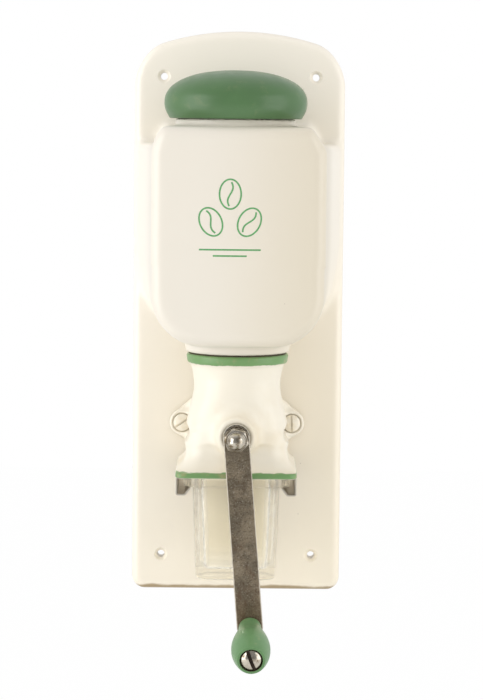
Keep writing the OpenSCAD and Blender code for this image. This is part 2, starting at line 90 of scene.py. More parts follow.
BODY_LOW, BODY_HIGH = node_box("ceramic_body")
HOUSING_LOW, HOUSING_HIGH = node_box("mill_housing")
LID_LOW, LID_HIGH = node_box("lid_cap")
GLASS_LOW, GLASS_HIGH = node_box("drawer_glass")
RAIL_LOW, RAIL_HIGH = node_box("rail_right")
SHAFT = np.array(joint("crank_turn")["pos_m"]) / MM
KNOB_PIVOT = np.array(joint("knob_spin")["pos_m"]) / MM
KNOB_AXIS = Vector(joint("knob_spin")["axis"]).normalized()
SHAFT_Z = SHAFT[2]
CRANK_R = math.hypot(KNOB_PIVOT[0] - SHAFT[0], KNOB_PIVOT[2] - SHAFT[2])
REST_ANGLE = math.atan2(KNOB_PIVOT[0] - SHAFT[0], SHAFT[2] - KNOB_PIVOT[2])
AXIS_DEPTH = -(LID_LOW[1] + LID_HIGH[1]) / 2
NECK_X = (LID_LOW[0] + LID_HIGH[0]) / 2
LID_R = (LID_HIGH[0] - LID_LOW[0]) / 2


# ---- what a user would change ----


def colour(name, red, green, blue):
    """A colour property whose default is given as the 0 to 255 values that a screen shows."""

    def linear(value):
        value /= 255
        return value / 12.92 if value <= 0.04045 else ((value + 0.055) / 1.055) ** 2.4

    return bpy.props.FloatVectorProperty(
        name=name, description=f"{name}, linear", subtype="COLOR", size=3, min=0, max=1,
        default=(linear(red), linear(green), linear(blue)))


def length(name, default, description):
    """A length property in metres, whose default is given in millimetres."""
    return bpy.props.FloatProperty(
        name=name, description=description, default=default * MM, unit="LENGTH", subtype="DISTANCE")


class MillColours(bpy.types.PropertyGroup):
    """Colours of the mill's finishes."""

    glaze: colour("Glaze", 241, 234, 221)
    glaze_aged: colour("Aged glaze", 236, 222, 190)
    # Painted shade along the ceramic's bottom edge.
    glaze_foot_shade: colour("Painted shade along the foot", 152, 128, 86)
    enamel: colour("Enamel", 236, 229, 213)
    enamel_aged: colour("Aged enamel", 229, 217, 192)
    green_enamel: colour("Green enamel", 110, 150, 92)
    green_paint: colour("Green paint on the wood", 88, 124, 80)
    green_worn: colour("Worn green paint", 158, 156, 112)
    decal: colour("Printed ornament", 98, 158, 102)
    patina: colour("Patina on the steel", 158, 144, 122)
    rust: colour("Rust in the patina", 92, 68, 46)
    nickel: colour("Nickel", 206, 198, 184)
    tarnish: colour("Tarnished nickel", 118, 102, 78)
    glass: colour("Glass", 252, 249, 236)
    shade_in_recesses: colour("Painted shade in recesses", 58, 46, 32)
    beech: colour("Bare wood", 190, 152, 108)
    bronze: colour("Bronze", 184, 140, 78)
    iron: colour("Bare iron", 92, 90, 88)
    zinc: colour("Zinc plate", 168, 168, 166)
    rubber: colour("Rubber", 62, 54, 38)


class MillSizes(bpy.types.PropertyGroup):
    """Roundings and details of the mill that its construction model leaves plain."""

    plate_edge: length("Backplate edge", 5.5, "Radius of the backplate's front edge")
    hopper_edge: length("Hopper edge", 8, "Radius around the hopper's front")
    plate_fillet: length("Hopper fillet", 6, "Softness of the joint between hopper and backplate")
    front_crown: length("Hopper crown", 1.6, "How far the hopper's front bulges")
    glaze_cell: length("Ceramic mesh size", 1.75, "Edge length of the ceramic's mesh")
    casting_cell: length("Casting mesh size", 1.15, "Edge length of the casting's mesh")
    ornament_line: length("Ornament line", 1.1, "Width of the printed lines")
    light_distance: bpy.props.FloatProperty(
        name="Light distance", description="Distance of the side lights", default=1.25, unit="LENGTH")


def looks():
    """The scene's colours."""
    return bpy.context.scene.mill_colours


def size(name):
    """One of the scene's sizes, in millimetres."""
    return getattr(bpy.context.scene.mill_sizes, name) / MM


# ---- smooth solids from distance fields ----


def smooth_min(a, b, k):
    """Union of two fields with a fillet of about k."""
    blend = np.maximum(k - np.abs(a - b), 0) / k
    return np.minimum(a, b) - blend * blend * k / 4


def smooth_max(a, b, k):
    """Intersection of two fields with a rounding of about k."""
    return -smooth_min(-a, -b, k)


def rounded(a, b, radius):
    """Intersection of two fields whose edge is an arc of this radius."""
    a, b = a + radius, b + radius
    return np.hypot(np.maximum(a, 0), np.maximum(b, 0)) + np.minimum(np.maximum(a, b), 0) - radius


def to_surface(points, field, limit):
    """Moves points onto the surface where the field is zero."""
    reach = 0.05
    for _ in range(3):
        slope = np.stack([(field(*(points + s).T) - field(*(points - s).T)) / (2 * reach)
                          for s in np.eye(3) * reach], axis=1)
        move = field(*points.T)[:, None] * slope / np.maximum((slope**2).sum(1, keepdims=True), 0.05)
        far = np.linalg.norm(move, axis=1, keepdims=True)
        points = points - move * np.minimum(1, limit / np.maximum(far, 1e-9))
    return points


def even_out(points, quads):
    """Moves every point towards the middle of its neighbours."""
    total = np.zeros_like(points)
    count = np.zeros(len(points))
    for a, b in ((0, 1), (1, 2), (2, 3), (3, 0)):
        for one, other in ((quads[:, a], quads[:, b]), (quads[:, b], quads[:, a])):
            count += np.bincount(one, minlength=len(points))
            for axis in range(3):
                total[:, axis] += np.bincount(one, points[other, axis], len(points))
    return points + 0.5 * (total / count[:, None] - points)


def surface_of(field, low, high, cell, rounds=4):
    """Closed mesh of a field's zero surface: one vertex in each grid cell that it crosses."""
    axes = [np.arange(low[i] - 1.5 * cell, high[i] + 2.5 * cell, cell) for i in range(3)]
    values = field(*np.meshgrid(*axes, indexing="ij"))
    inside = values < 0
    cells = [n - 1 for n in values.shape]
    corners = [(i, j, k) for i in (0, 1) for j in (0, 1) for k in (0, 1)]

    def corner(array, c):
        return array[tuple(slice(c[i], c[i] + cells[i]) for i in range(3))]

    filled = sum(corner(inside, c).astype(np.int8) for c in corners)
    crossed = (filled > 0) & (filled < 8)
    number = np.full(cells, -1)
    number[crossed] = np.arange(crossed.sum())
    places = np.argwhere(crossed).astype(float)
    total = np.zeros_like(places)
    hits = np.zeros(len(places))
    for c in corners:
        for axis in range(3):
            if c[axis]:
                continue
            other = tuple(1 if i == axis else c[i] for i in range(3))
            a = corner(values, c)[crossed]
            b = corner(values, other)[crossed]
            change = (a < 0) != (b < 0)
            point = places[change] + c
            point[:, axis] += a[change] / (a[change] - b[change])
            total[change] += point
            hits += change
    points = np.array([a[0] for a in axes]) + cell * total / hits[:, None]
    faces = []
    for axis in range(3):
        u, v = (axis + 1) % 3, (axis + 2) % 3
        first = inside[tuple(slice(0, -1) if i == axis else slice(1, -1) for i in range(3))]
        second = inside[tuple(slice(1, None) if i == axis else slice(1, -1) for i in range(3))]
        change = first != second
        at = np.argwhere(change)
        at[:, [u, v]] += 1
        ring = []
        for du, dv in ((0, 0), (1, 0), (1, 1), (0, 1)):
            place = at.copy()
            place[:, u] -= du
            place[:, v] -= dv
            ring.append(number[tuple(place.T)])
        ring = np.stack(ring, axis=1)
        leaving = first[change]
        faces.append(np.where(leaving[:, None], ring, ring[:, ::-1]))
    quads = np.concatenate(faces)
    points = to_surface(points, field, cell / 2)
    for _ in range(rounds):
        points = to_surface(even_out(points, quads), field, cell / 2)
    return points, quads


# ---- meshes ----


def added(name, data):
    """A new object in the scene with this data."""
    found = bpy.data.objects.new(name, data)
    bpy.context.scene.collection.objects.link(found)
    return found


def mesh_object(name, points, faces, sharp=None):
    """A smooth-shaded object from points in millimetres. Edges over the sharp angle stay crisp."""
    mesh = bpy.data.meshes.new(name)
    mesh.from_pydata((np.asarray(points, float) * MM).tolist(), [], np.asarray(faces).tolist()
                     if isinstance(faces, np.ndarray) else faces)
    bm = bmesh.new()
    bm.from_mesh(mesh)
    bmesh.ops.remove_doubles(bm, verts=bm.verts, dist=1e-7)
    bmesh.ops.recalc_face_normals(bm, faces=bm.faces)
    bm.to_mesh(mesh)
    bm.free()
    mesh.shade_smooth()
    if sharp:
        mesh.set_sharp_from_angle(angle=math.radians(sharp))
    return added(name, mesh)


def loft(rings, close=True):
    """Points and faces of a skin over rings of equal length; close caps the first and the last."""
    count = len(rings[0])
    points = [p for ring in rings for p in ring]
    faces = []
    for i in range(len(rings) - 1):
        for j in range(count):
            k = (j + 1) % count
            faces.append((i * count + j, i * count + k, (i + 1) * count + k, (i + 1) * count + j))
    if close:
        faces.append(tuple(range(count))[::-1])
        faces.append(tuple(range((len(rings) - 1) * count, len(rings) * count)))
    return points, faces


def turned(profile, frame_matrix=Matrix.Identity(4), steps=96):
    """Points and faces of a closed turned solid. The profile is a list of (radius, height)."""
    rings = []
    for radius, height in profile:
        ring = []
        for i in range(steps):
            a = 2 * math.pi * i / steps
            ring.append(frame_matrix @ Vector((radius * math.cos(a), radius * math.sin(a), height)))
        rings.append(ring)
    return loft(rings, close=profile[0][0] > 0)


def smooth_profile(points, steps=8):
    """A Catmull-Rom curve through profile points."""
    p = [points[0], *points, points[-1]]
    curve = []
    for i in range(1, len(p) - 2):
        for s in range(steps):
            t = s / steps
            near = zip(p[i - 1], p[i], p[i + 1], p[i + 2])
            curve.append(tuple(0.5 * (2 * b + (c - a) * t + (2 * a - 5 * b + 4 * c - d) * t * t
                                      + (3 * b - a - 3 * c + d) * t**3) for a, b, c, d in near))
    return [*curve, points[-1]]


def upright(x, y, z):
    """A frame whose axis points up."""
    return Matrix.Translation((x, y, z))


def facing(x, z, depth):
    """A frame at a depth in front of the wall whose axis points away from the wall."""
    return Matrix.Translation((x, -depth, z)) @ Matrix.Rotation(math.radians(90), 4, "X")


def baked(found):
    """Turns an object's modifiers into its own mesh."""
    graph = bpy.context.evaluated_depsgraph_get()
    mesh = bpy.data.meshes.new_from_object(found.evaluated_get(graph))
    old = found.data
    found.modifiers.clear()
    found.data = mesh
    if isinstance(old, bpy.types.Mesh):
        bpy.data.meshes.remove(old)
    return found


def in_metres(matrix):
    """Fits a matrix that is in millimetres to a mesh that is in metres."""
    return Matrix.Scale(MM, 4) @ matrix @ Matrix.Scale(1 / MM, 4)


def joined(found, other):
    """Adds another object's mesh to an object and removes the other."""
    bm = bmesh.new()
    bm.from_mesh(found.data)
    bm.from_mesh(other.data)
    bm.to_mesh(found.data)
    bm.free()
    bpy.data.objects.remove(other)


def cut(found, *cutters, sharp=35):
    """Cuts other solids out of an object and removes them."""
    for cutter in cutters:
        boolean = found.modifiers.new("cut", "BOOLEAN")
        boolean.operation = "DIFFERENCE"
        boolean.solver = "EXACT"
        boolean.object = cutter
        baked(found)
        bpy.data.objects.remove(cutter)
    found.data.set_sharp_from_angle(angle=math.radians(sharp))
    return found


def finished(found, body, slot, material, *nodes, second=None):
    """Gives a piece its material and its body, and hides the construction nodes that it stands for."""
    marked = [face.index for face in found.data.polygons if face.material_index]
    found.data.materials.clear()
    found.data.materials.append(material)
    if second:
        found.data.materials.append(second)
        for index in marked:
            found.data.polygons[index].material_index = 1
    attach(found, body)
    if nodes:
        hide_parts(*nodes)
    return found


def repainted(material, *nodes):
    """Gives construction nodes that keep their own shape a new material."""
    for node in nodes:
        materials = frame["nodes"][node].data.materials
        materials.clear()
        materials.append(material)


def box_cutter(matrix, x, y, z):
    """A box of these full sizes in the middle of a frame, to cut with."""
    corners = [(sx * x / 2, sy * y / 2) for sx, sy in ((-1, -1), (1, -1), (1, 1), (-1, 1))]
    rings = [[matrix @ Vector((a, b, h)) for a, b in corners] for h in (-z / 2, z / 2)]
    return mesh_object("cutter", *loft(rings))


# ---- materials ----


def shaded(colour_, share):
    """A colour made darker or lighter by a share."""
    return tuple(min(1, v * share) for v in colour_)


class Nodes:
    """Adds nodes to a tree. A socket can be given a value or another node's output."""

    def __init__(self, tree, prefix):
        self.tree = tree
        self.prefix = prefix
        tree.nodes.clear()

    def add(self, kind, settings=None, **sockets):
        """Adds a node. Sockets are named in lower case, with _ for a space, or by number as _0."""
        node = self.tree.nodes.new(self.prefix + kind)
        for key, value in (settings or {}).items():
            setattr(node, key, value)
        for key, value in sockets.items():
            if key[1:].isdigit():
                socket = node.inputs[int(key[1:])]
            else:
                socket = next(s for s in node.inputs
                              if s.name.lower().replace(" ", "_") == key and s.enabled)
            if isinstance(value, bpy.types.NodeSocket):
                self.tree.links.new(value, socket)
            elif hasattr(socket.default_value, "__len__") and len(socket.default_value) == 4:
                socket.default_value = (*value[:3], 1)
            else:
                socket.default_value = value
        return node


class Finish(Nodes):
    """Builds a material's nodes from noises, ranges and mixes of colours."""

    def __init__(self, name):
        self.material = bpy.data.materials.new(name)
        self.material.use_nodes = True
        super().__init__(self.material.node_tree, "ShaderNode")
        self.output = self.add("OutputMaterial")
        self.place = self.add("TexCoord").outputs["Object"]

    def noise(self, scale, detail=3, roughness=0.5, distortion=0.0, vector=None):
        """Noise from 0 to 1. The scale is in waves per metre."""
        return self.add("TexNoise", scale=scale, detail=detail, roughness=roughness,
                        distortion=distortion, vector=vector or self.place).outputs[0]

    def math(self, operation, a, b=0.0, clamp=False):
        """One arithmetic step."""
        return self.add("Math", {"operation": operation, "use_clamp": clamp}, _0=a, _1=b).outputs[0]

    def range(self, value, low, high, to_low=0.0, to_high=1.0):
        """Stretches a value from one range to another, with smooth ends."""
        return self.add("MapRange", {"interpolation_type": "SMOOTHSTEP"}, value=value, from_min=low,
                        from_max=high, to_min=to_low, to_max=to_high).outputs[0]

    def mix(self, factor, a, b):
        """Mixes two colours."""
        return self.add("Mix", {"data_type": "RGBA"}, _0=factor, _6=a, _7=b).outputs[2]

    def axis(self, letter):
        """One coordinate of the surface point, in metres."""
        return self.add("SeparateXYZ", vector=self.place).outputs["XYZ".index(letter)]

    def stretched(self, x, y, z):
        """The surface point with its axes scaled, for streaks and brush marks."""
        return self.add("Mapping", vector=self.place, scale=(x, y, z)).outputs[0]

    def spots(self, scale, size, share):
        """Small round spots: 1 inside a spot. The share is how many of the cells have one."""
        cells = self.add("TexVoronoi", {"feature": "F1"}, scale=scale, vector=self.place, randomness=1.0)
        near = self.range(cells.outputs["Distance"], size * 0.6, size, 1, 0)
        red = self.add("SeparateColor", color=cells.outputs["Color"]).outputs[0]
        kept = self.math("LESS_THAN", red, share)
        return self.math("MULTIPLY", near, kept)

    def bump(self, height, distance, strength=1.0, normal=None):
        """Turns a height into a surface normal. The distance is in metres."""
        sockets = {"height": height, "distance": distance, "strength": strength}
        if normal:
            sockets["normal"] = normal
        return self.add("Bump", **sockets).outputs[0]

    def surface(self, **sockets):
        """Ends the material in a Principled surface."""
        shader = self.add("BsdfPrincipled", **sockets)
        self.tree.links.new(shader.outputs[0], self.output.inputs["Surface"])
        return self.material


def glazed_ceramic():
    """Cream glaze that has aged towards the lower right, with pinholes and a soft ripple; painted shade
    darkens the hopper's front, most towards its right, and the foot.
    """
    f = Finish("glazed_ceramic")
    c = looks()
    cloud = f.noise(9, 2, 0.4)
    slant = f.math("SUBTRACT", f.math("MULTIPLY", f.axis("X"), 3.2), f.math("MULTIPLY", f.axis("Z"), 2.0))
    age = f.range(f.math("ADD", slant, f.math("MULTIPLY", cloud, 0.7)), 0.05, 1.15)
    # front is 1 on the hopper's front; there the ageing is full and on the plate half, and the glaze is
    # painted darker and greyer: painted shade.
    front = f.range(f.axis("Y"), -0.10, -0.05, 1, 0)
    age = f.math("MULTIPLY", age, f.math("ADD", f.math("MULTIPLY", front, 0.5), 0.5))
    colour_ = f.mix(age, c.glaze, c.glaze_aged)
    colour_ = f.mix(f.math("MULTIPLY", front, 0.75), colour_, shaded(c.glaze, 0.84))
    # Painted shade, growing towards the right of the hopper's front.
    painted_right_shade = f.math("MULTIPLY", front, f.range(f.axis("X"), -0.03, 0.06, 0, 0.45))
    colour_ = f.mix(painted_right_shade, colour_, shaded(c.glaze_aged, 0.74))
    # Painted shade along the foot: the bottom edge turns darker and browner.
    foot = f.range(f.math("ADD", f.axis("Z"), f.math("MULTIPLY", f.noise(60, 4), 0.004)),
                   BODY_LOW[2] * MM + 0.0036, BODY_LOW[2] * MM + 0.0056, 1, 0)
    colour_ = f.mix(f.math("MULTIPLY", foot, 0.9), colour_, c.glaze_foot_shade)
    pinholes = f.math("MAXIMUM", f.spots(70, 0.022, 0.14), f.spots(190, 0.04, 0.03))
    colour_ = f.mix(f.math("MULTIPLY", pinholes, 0.75), colour_, c.rust)
    ripple = f.bump(f.noise(55, 2, 0.4), 0.00016, 0.15)
    dents = f.bump(f.math("SUBTRACT", 1.0, pinholes), 0.00018, 0.6, ripple)
    return f.surface(base_color=colour_, roughness=0.32, normal=dents, ior=1.5, coat_weight=0.15,
                     coat_roughness=0.14)


def enamelled_iron():
    """Thick cream enamel, with the edges of both flanges painted green by hand."""
    f = Finish("cream_enamel")
    c = looks()
    low, high = HOUSING_LOW * MM, HOUSING_HIGH * MM
    cream = f.mix(f.range(f.noise(22, 4, 0.6), 0.45, 0.8), c.enamel, c.enamel_aged)
    height = f.axis("Z")
    waver = f.math("MULTIPLY", f.math("SUBTRACT", f.noise(95, 3, 0.6), 0.5), 0.0022)
    wavy = f.math("ADD", height, waver)
    ring = f.range(wavy, high[2] - 0.0062, high[2] - 0.0057)
    lower = f.range(wavy, low[2] + 0.0036, low[2] + 0.0041, 1, 0)
    under = f.range(height, low[2] + 0.0001, low[2] + 0.0004)
    out_x = f.math("ABSOLUTE", f.axis("X"))
    out_y = f.math("MULTIPLY", f.axis("Y"), -1.0)
    front = -low[1]
    edge = f.math("MAXIMUM", f.range(out_x, 0.0372, 0.0386), f.range(out_y, front - 0.0068, front - 0.0052))
    edge = f.math("MULTIPLY", f.math("MULTIPLY", lower, under), edge)
    green = f.mix(f.range(f.noise(160, 3), 0.55, 0.8), c.green_enamel, c.green_worn)
    shade = f.mix(f.math("MAXIMUM", ring, edge), cream, green)
    chips = f.spots(140, 0.045, 0.10)
    shade = f.mix(f.math("MULTIPLY", chips, 0.7), shade, c.rust)
    lumps = f.bump(f.noise(60, 3, 0.55), 0.0004, 0.25)
    return f.surface(base_color=shade, roughness=f.range(f.noise(55, 3), 0.3, 0.75, 0.28, 0.4),
                     normal=lumps, ior=1.5, coat_weight=0.2, coat_roughness=0.12)


def painted_screws(name="painted_screws"):
    """Steel under the same enamel as the casting."""
    f = Finish(name)
    c = looks()
    shade = f.mix(f.range(f.noise(320, 4), 0.4, 0.75), c.enamel, c.enamel_aged)
    return f.surface(base_color=shade, roughness=0.24, normal=f.bump(f.noise(420, 3), 0.0003, 0.5),
                     coat_weight=0.3, coat_roughness=0.08)


def green_wood(name, grain_scale, darken_height=None, rub=0.12, shade_by=1.0):
    """Satin green paint on turned wood, thin where hands rub it. Below a given height it turns darker and
    browner.
    """
    f = Finish(name)
    c = looks()
    cloud = f.noise(38, 4, 0.55)
    base = shaded(c.green_paint, shade_by)
    shade = f.mix(f.range(cloud, 0.35, 0.75), base, shaded(base, 1.12))
    rubbed = f.math("MULTIPLY", f.range(f.noise(85, 5, 0.65), 0.56, 0.74), rub)
    shade = f.mix(rubbed, shade, c.green_worn)
    if darken_height is not None:
        # Darker and browner below the height.
        ragged = f.math("ADD", f.axis("Z"), f.math("MULTIPLY", f.noise(130, 4), 0.012))
        darker_below = f.range(ragged, darken_height * MM - 0.001, darken_height * MM + 0.009, 0.35, 0)
        shade = f.mix(darker_below, shade, c.rust)
    nicks = f.spots(300, 0.06, 0.05)
    shade = f.mix(f.math("MULTIPLY", nicks, 0.8), shade, c.rust)
    brush = f.noise(grain_scale, 3, 0.6, vector=f.stretched(1, 1, 7))
    skin = f.bump(brush, 0.00025, 0.25)
    skin = f.bump(f.noise(900, 2), 0.00006, 0.35, skin)
    return f.surface(base_color=shade, roughness=f.range(f.noise(120, 3), 0.3, 0.7, 0.28, 0.36),
                     normal=skin, ior=1.46)


def worn_steel():
    """Flat steel whose plating has gone to a brown patina: rust in patches, and bright edges, worn bare and
    with a painted highlight.
    """
    f = Finish("worn_steel")
    c = looks()
    lean = f.math("MULTIPLY", f.math("SUBTRACT", f.axis("Z"), SHAFT_Z * MM), math.sin(REST_ANGLE))
    across = f.math("ABSOLUTE", f.math("ADD", f.math("MULTIPLY", f.axis("X"), math.cos(REST_ANGLE)), lean))
    below = f.math("SUBTRACT", SHAFT_Z * MM, f.axis("Z"))
    cloud = f.noise(75, 5, 0.7)
    shade = f.mix(f.range(cloud, 0.38, 0.64), shaded(c.patina, 0.55), shaded(c.patina, 1.02))
    patches = f.range(f.noise(48, 5, 0.65, 0.5), 0.50, 0.66)
    shade = f.mix(f.math("MULTIPLY", patches, 0.7), shade, c.rust)
    grain = f.noise(850, 4, 0.75)
    shade = f.mix(f.range(grain, 0.50, 0.64, 0, 0.62), shade, shaded(c.rust, 0.6))
    shade = f.mix(f.range(f.noise(1100, 3, 0.7), 0.56, 0.68, 0, 0.55), shade, c.nickel)
    # Darker and browner towards the arm's lower end.
    shade = f.mix(f.range(below, 0.098, 0.112, 0, 0.5), shade, c.rust)
    # Darker around the hub.
    hub = f.range(below, 0.004, 0.016, 1, 0)
    shade = f.mix(f.math("MULTIPLY", hub, 0.8), shade, shaded(c.patina, 0.55))
    # Bright edges: worn bare metal and a painted highlight.
    ragged = f.math("ADD", across, f.math("MULTIPLY", f.noise(300, 3), 0.0006))
    rubbed = f.range(ragged, ARM_W / 2 * MM - 0.0006, ARM_W / 2 * MM + 0.0001, 0, 0.75)
    shade = f.mix(rubbed, shade, c.nickel)
    rough = f.math("SUBTRACT", f.range(grain, 0.35, 0.65, 0.36, 0.52), f.math("MULTIPLY", hub, 0.2))
    pits = f.bump(grain, 0.00022, 0.5)
    return f.surface(base_color=shade, metallic=f.range(patches, 0, 1, 0.75, 0.5), roughness=rough,
                     normal=pits)


def nickel(name, tarnish_from, roughness, reflection_height=None):
    """Nickel plate with tarnish clouds, and a painted brown reflection below a height if one is given."""
    f = Finish(name)
    c = looks()
    cloud = f.noise(260, 4, 0.6)
    amount = f.range(cloud, tarnish_from, tarnish_from + 0.22)
    if reflection_height is not None:
        # Below the height the nickel turns brown: painted reflection.
        ragged = f.math("ADD", f.axis("Z"), f.math("MULTIPLY", f.noise(420, 4), 0.004))
        low = f.range(ragged, reflection_height * MM - 0.002, reflection_height * MM + 0.006, 0.85, 0)
        amount = f.math("MAXIMUM", amount, low)
    shade = f.mix(amount, c.nickel, c.tarnish)
    rough = f.math("ADD", f.math("MULTIPLY", amount, 0.22), roughness)
    return f.surface(base_color=shade, metallic=1.0, roughness=rough,
                     normal=f.bump(f.noise(700, 3), 0.00004, 0.4))


def metal(name, base, roughness, scale=300, streak=(1, 1, 1)):
    """A machined or plated metal with fine streaks."""
    f = Finish(name)
    marks = f.noise(scale, 4, 0.6, vector=f.stretched(*streak))
    shade = f.mix(f.range(marks, 0.3, 0.8), tuple(base), shaded(base, 0.7))
    return f.surface(base_color=shade, metallic=1.0, normal=f.bump(marks, 0.00005, 0.5),
                     roughness=f.range(marks, 0.2, 0.8, roughness, roughness + 0.15))


def rough_iron(name, grain):
    """Bare cast iron with its sand-cast grain."""
    f = Finish(name)
    base = looks().iron
    cloud = f.noise(grain, 5, 0.7)
    shade = f.mix(f.range(cloud, 0.3, 0.7), shaded(base, 0.7), shaded(base, 1.2))
    return f.surface(base_color=shade, metallic=0.85, roughness=f.range(cloud, 0.3, 0.7, 0.5, 0.7),
                     normal=f.bump(cloud, 0.0003, 0.7))


def rubber():
    """Dark gasket rubber."""
    f = Finish("gasket_rubber")
    cloud = f.noise(240, 3)
    shade = f.mix(f.range(cloud, 0.3, 0.7), looks().rubber, shaded(looks().rubber, 1.6))
    return f.surface(base_color=shade, roughness=f.range(cloud, 0.3, 0.7, 0.65, 0.8))


def bare_wood():
    """Turned beech with its short flecks."""
    f = Finish("bare_wood")
    base = looks().beech
    grain = f.noise(60, 5, 0.6, 0.4, f.stretched(1, 9, 1))
    flecks = f.range(f.noise(420, 2, vector=f.stretched(1, 0.18, 1)), 0.62, 0.7)
    shade = f.mix(f.range(grain, 0.35, 0.7), tuple(base), shaded(base, 0.72))
    shade = f.mix(f.math("MULTIPLY", flecks, 0.5), shade, shaded(base, 0.45))
    return f.surface(base_color=shade, roughness=0.55, normal=f.bump(grain, 0.0002, 0.5))


def pressed_glass():
    """Clear pressed glass with a faint green tint and shallow waves."""
    f = Finish("pressed_glass")
    waves = f.bump(f.noise(48, 2, 0.4, vector=f.stretched(1, 1, 0.4)), 0.0004, 0.25)
    return f.surface(base_color=looks().glass, transmission_weight=1.0, ior=1.45,
                     roughness=0.02, alpha=0.5, normal=waves)


def dark_grime():
    """Painted shade in slots and gaps."""
    f = Finish("dark_grime")
    base = looks().shade_in_recesses
    cloud = f.noise(700, 4, 0.6)
    shade = f.mix(f.range(cloud, 0.35, 0.7), tuple(base), shaded(base, 1.9))
    return f.surface(base_color=shade, roughness=f.range(cloud, 0.3, 0.7, 0.6, 0.85))


def printed_green():
    """The printed ornament's green, fired into the glaze."""
    f = Finish("printed_green")
    base = looks().decal
    shade = f.mix(f.range(f.noise(500, 3), 0.45, 0.8), tuple(base), shaded(base, 1.35))
    return f.surface(base_color=shade, roughness=0.16, coat_weight=0.35, coat_roughness=0.05)


# ---- ceramic body ----


PLATE_T = 13
ARCH_R = 175
PLATE_CORNER = 20
PLATE_FOOT = 9
HOPPER_W = 56.5
FLARE_W = 70
HOPPER_TOP = 131.5
HOPPER_LOW = -12
SHOULDER_Z = 120
HOPPER_CORNER = 34
CERAMIC_WALL = 6
NECK_R = 40
NECK_BORE_R = 36
COLLAR_R = 36.3
THROAT_R = 20
BACK_RIM = 10
BACK_RELIEF = 3
SCREW_PAD_R = 9
WALL_SCREWS = [(sx * 52, sz * 165) for sx in (-1, 1) for sz in (-1, 1)]
EAR_X = 37.7
EAR_Z = -72
BODY_COLLAR_Z = HOUSING_HIGH[2] + 1


def plate_outline(x, z):
    """The backplate seen from the front: straight sides and foot, and an arched top."""
    half = BODY_HIGH[0]
    arch = rounded(np.abs(x) - half, np.hypot(x, z - (BODY_HIGH[2] - ARCH_R)) - ARCH_R, PLATE_CORNER)
    foot = rounded(np.abs(x) - half, BODY_LOW[2] - z, PLATE_FOOT)
    return np.where(z > 0, arch, foot)


def hopper_half_width(depth, z):
    """The hopper's sides spread towards the backplate, below sloping shoulders."""
    spread = FLARE_W - HOPPER_W - np.maximum(62 - z, 0) ** 2 / 340
    back = 1 - np.clip((depth - PLATE_T) / 92, 0, 1)
    return HOPPER_W + np.maximum(spread, 0) * (0.8 * back + 0.2 * back * back)


def hopper_front(x, z):
    """Depth of the slightly crowned front."""
    crown = size("front_crown")
    return -BODY_LOW[1] - crown * (x / HOPPER_W) ** 2 - 0.8 * crown * ((z - 60) / 72) ** 2


def hopper_solid(x, depth, z):
    """The hopper before it is hollowed and joined to the plate."""
    side = np.abs(x)
    flare = rounded(side - hopper_half_width(depth, z), z - SHOULDER_Z, 6)
    chamfer = (12 * (np.abs(x - NECK_X / 2) - HOPPER_W) + 8 * (z - HOPPER_TOP + 12)) / math.hypot(12, 8)
    head = smooth_max(smooth_max(side - HOPPER_W, chamfer, 4), z - HOPPER_TOP, 3)
    upper = smooth_min(flare, head, 2.5)
    lower = rounded(side - hopper_half_width(depth, z), HOPPER_LOW - z, HOPPER_CORNER)
    outline = np.where(z > 40, upper, lower)
    return rounded(outline, depth - hopper_front(x, z), size("hopper_edge"))


def ceramic_field(x, y, z):
    """Backplate, hopper, neck and throat collar in one casting."""
    depth = -y
    outline = plate_outline(x, z)
    edge = np.where(depth > PLATE_T / 2, size("plate_edge"), 1.5)
    plate = rounded(outline, np.abs(depth - PLATE_T / 2) - PLATE_T / 2, edge)
    relief = smooth_max(outline + BACK_RIM, depth - BACK_RELIEF, 1.5)
    for sx, sz in WALL_SCREWS:
        relief = smooth_max(relief, SCREW_PAD_R - np.hypot(x - sx, z - sz), 1.5)
    plate = smooth_max(plate, -relief, 1.2)
    hopper = hopper_solid(x, depth, z)
    hollow = smooth_max(hopper + CERAMIC_WALL, PLATE_T - depth, 4)
    around = np.hypot(x, depth - AXIS_DEPTH)
    around_neck = np.hypot(x - NECK_X, depth - AXIS_DEPTH)
    neck = rounded(around_neck - NECK_R, z - LID_LOW[2], 1.5)
    neck = np.maximum(neck, HOPPER_TOP - 8 - z)
    collar = rounded(around - COLLAR_R + 0.19 * np.maximum(-8 - z, 0), BODY_COLLAR_Z - z, 1.5)
    collar = np.maximum(collar, z + 2)
    outside = smooth_min(np.maximum(hopper, 5 - depth), neck, 3)
    outside = smooth_min(outside, collar, 6)
    outside = smooth_min(plate, outside, size("plate_fillet"))
    outside = np.maximum(outside, outline)
    bore = np.maximum(around_neck - NECK_BORE_R, HOPPER_TOP - 12 - z)
    throat = np.maximum(around - THROAT_R - np.clip(z - BODY_COLLAR_Z - 4, 0, 14) * 1.15, z - 4)
    return smooth_max(outside, -smooth_min(hollow, np.minimum(bore, throat), 2), 1.5)


def make_ceramic_body():
    """The backplate and hopper, with countersunk wall-screw holes and the pockets behind the ears."""
    points, quads = surface_of(ceramic_field, BODY_LOW, BODY_HIGH, size("glaze_cell"))
    body = mesh_object("ceramic_casting", np.clip(points, BODY_LOW, BODY_HIGH), quads)
    for x, z in WALL_SCREWS:
        profile = [(0, -1), (2.5, -1), (2.5, PLATE_T - 2.2), (4.3, PLATE_T - 0.3), (5.4, PLATE_T + 1),
                   (0, PLATE_T + 1)]
        cut(body, mesh_object("cutter", *turned(profile, facing(x, z, 0), 48)))
    for side in (-1, 1):
        profile = [(0, -1), (8, -1), (8, 7), (3.2, 7), (3.2, PLATE_T + 1), (0, PLATE_T + 1)]
        cut(body, mesh_object("cutter", *turned(profile, facing(side * EAR_X, EAR_Z, 0), 48)), sharp=40)
    finished(body, "root", "glazed_ceramic", glazed_ceramic(), "ceramic_body")


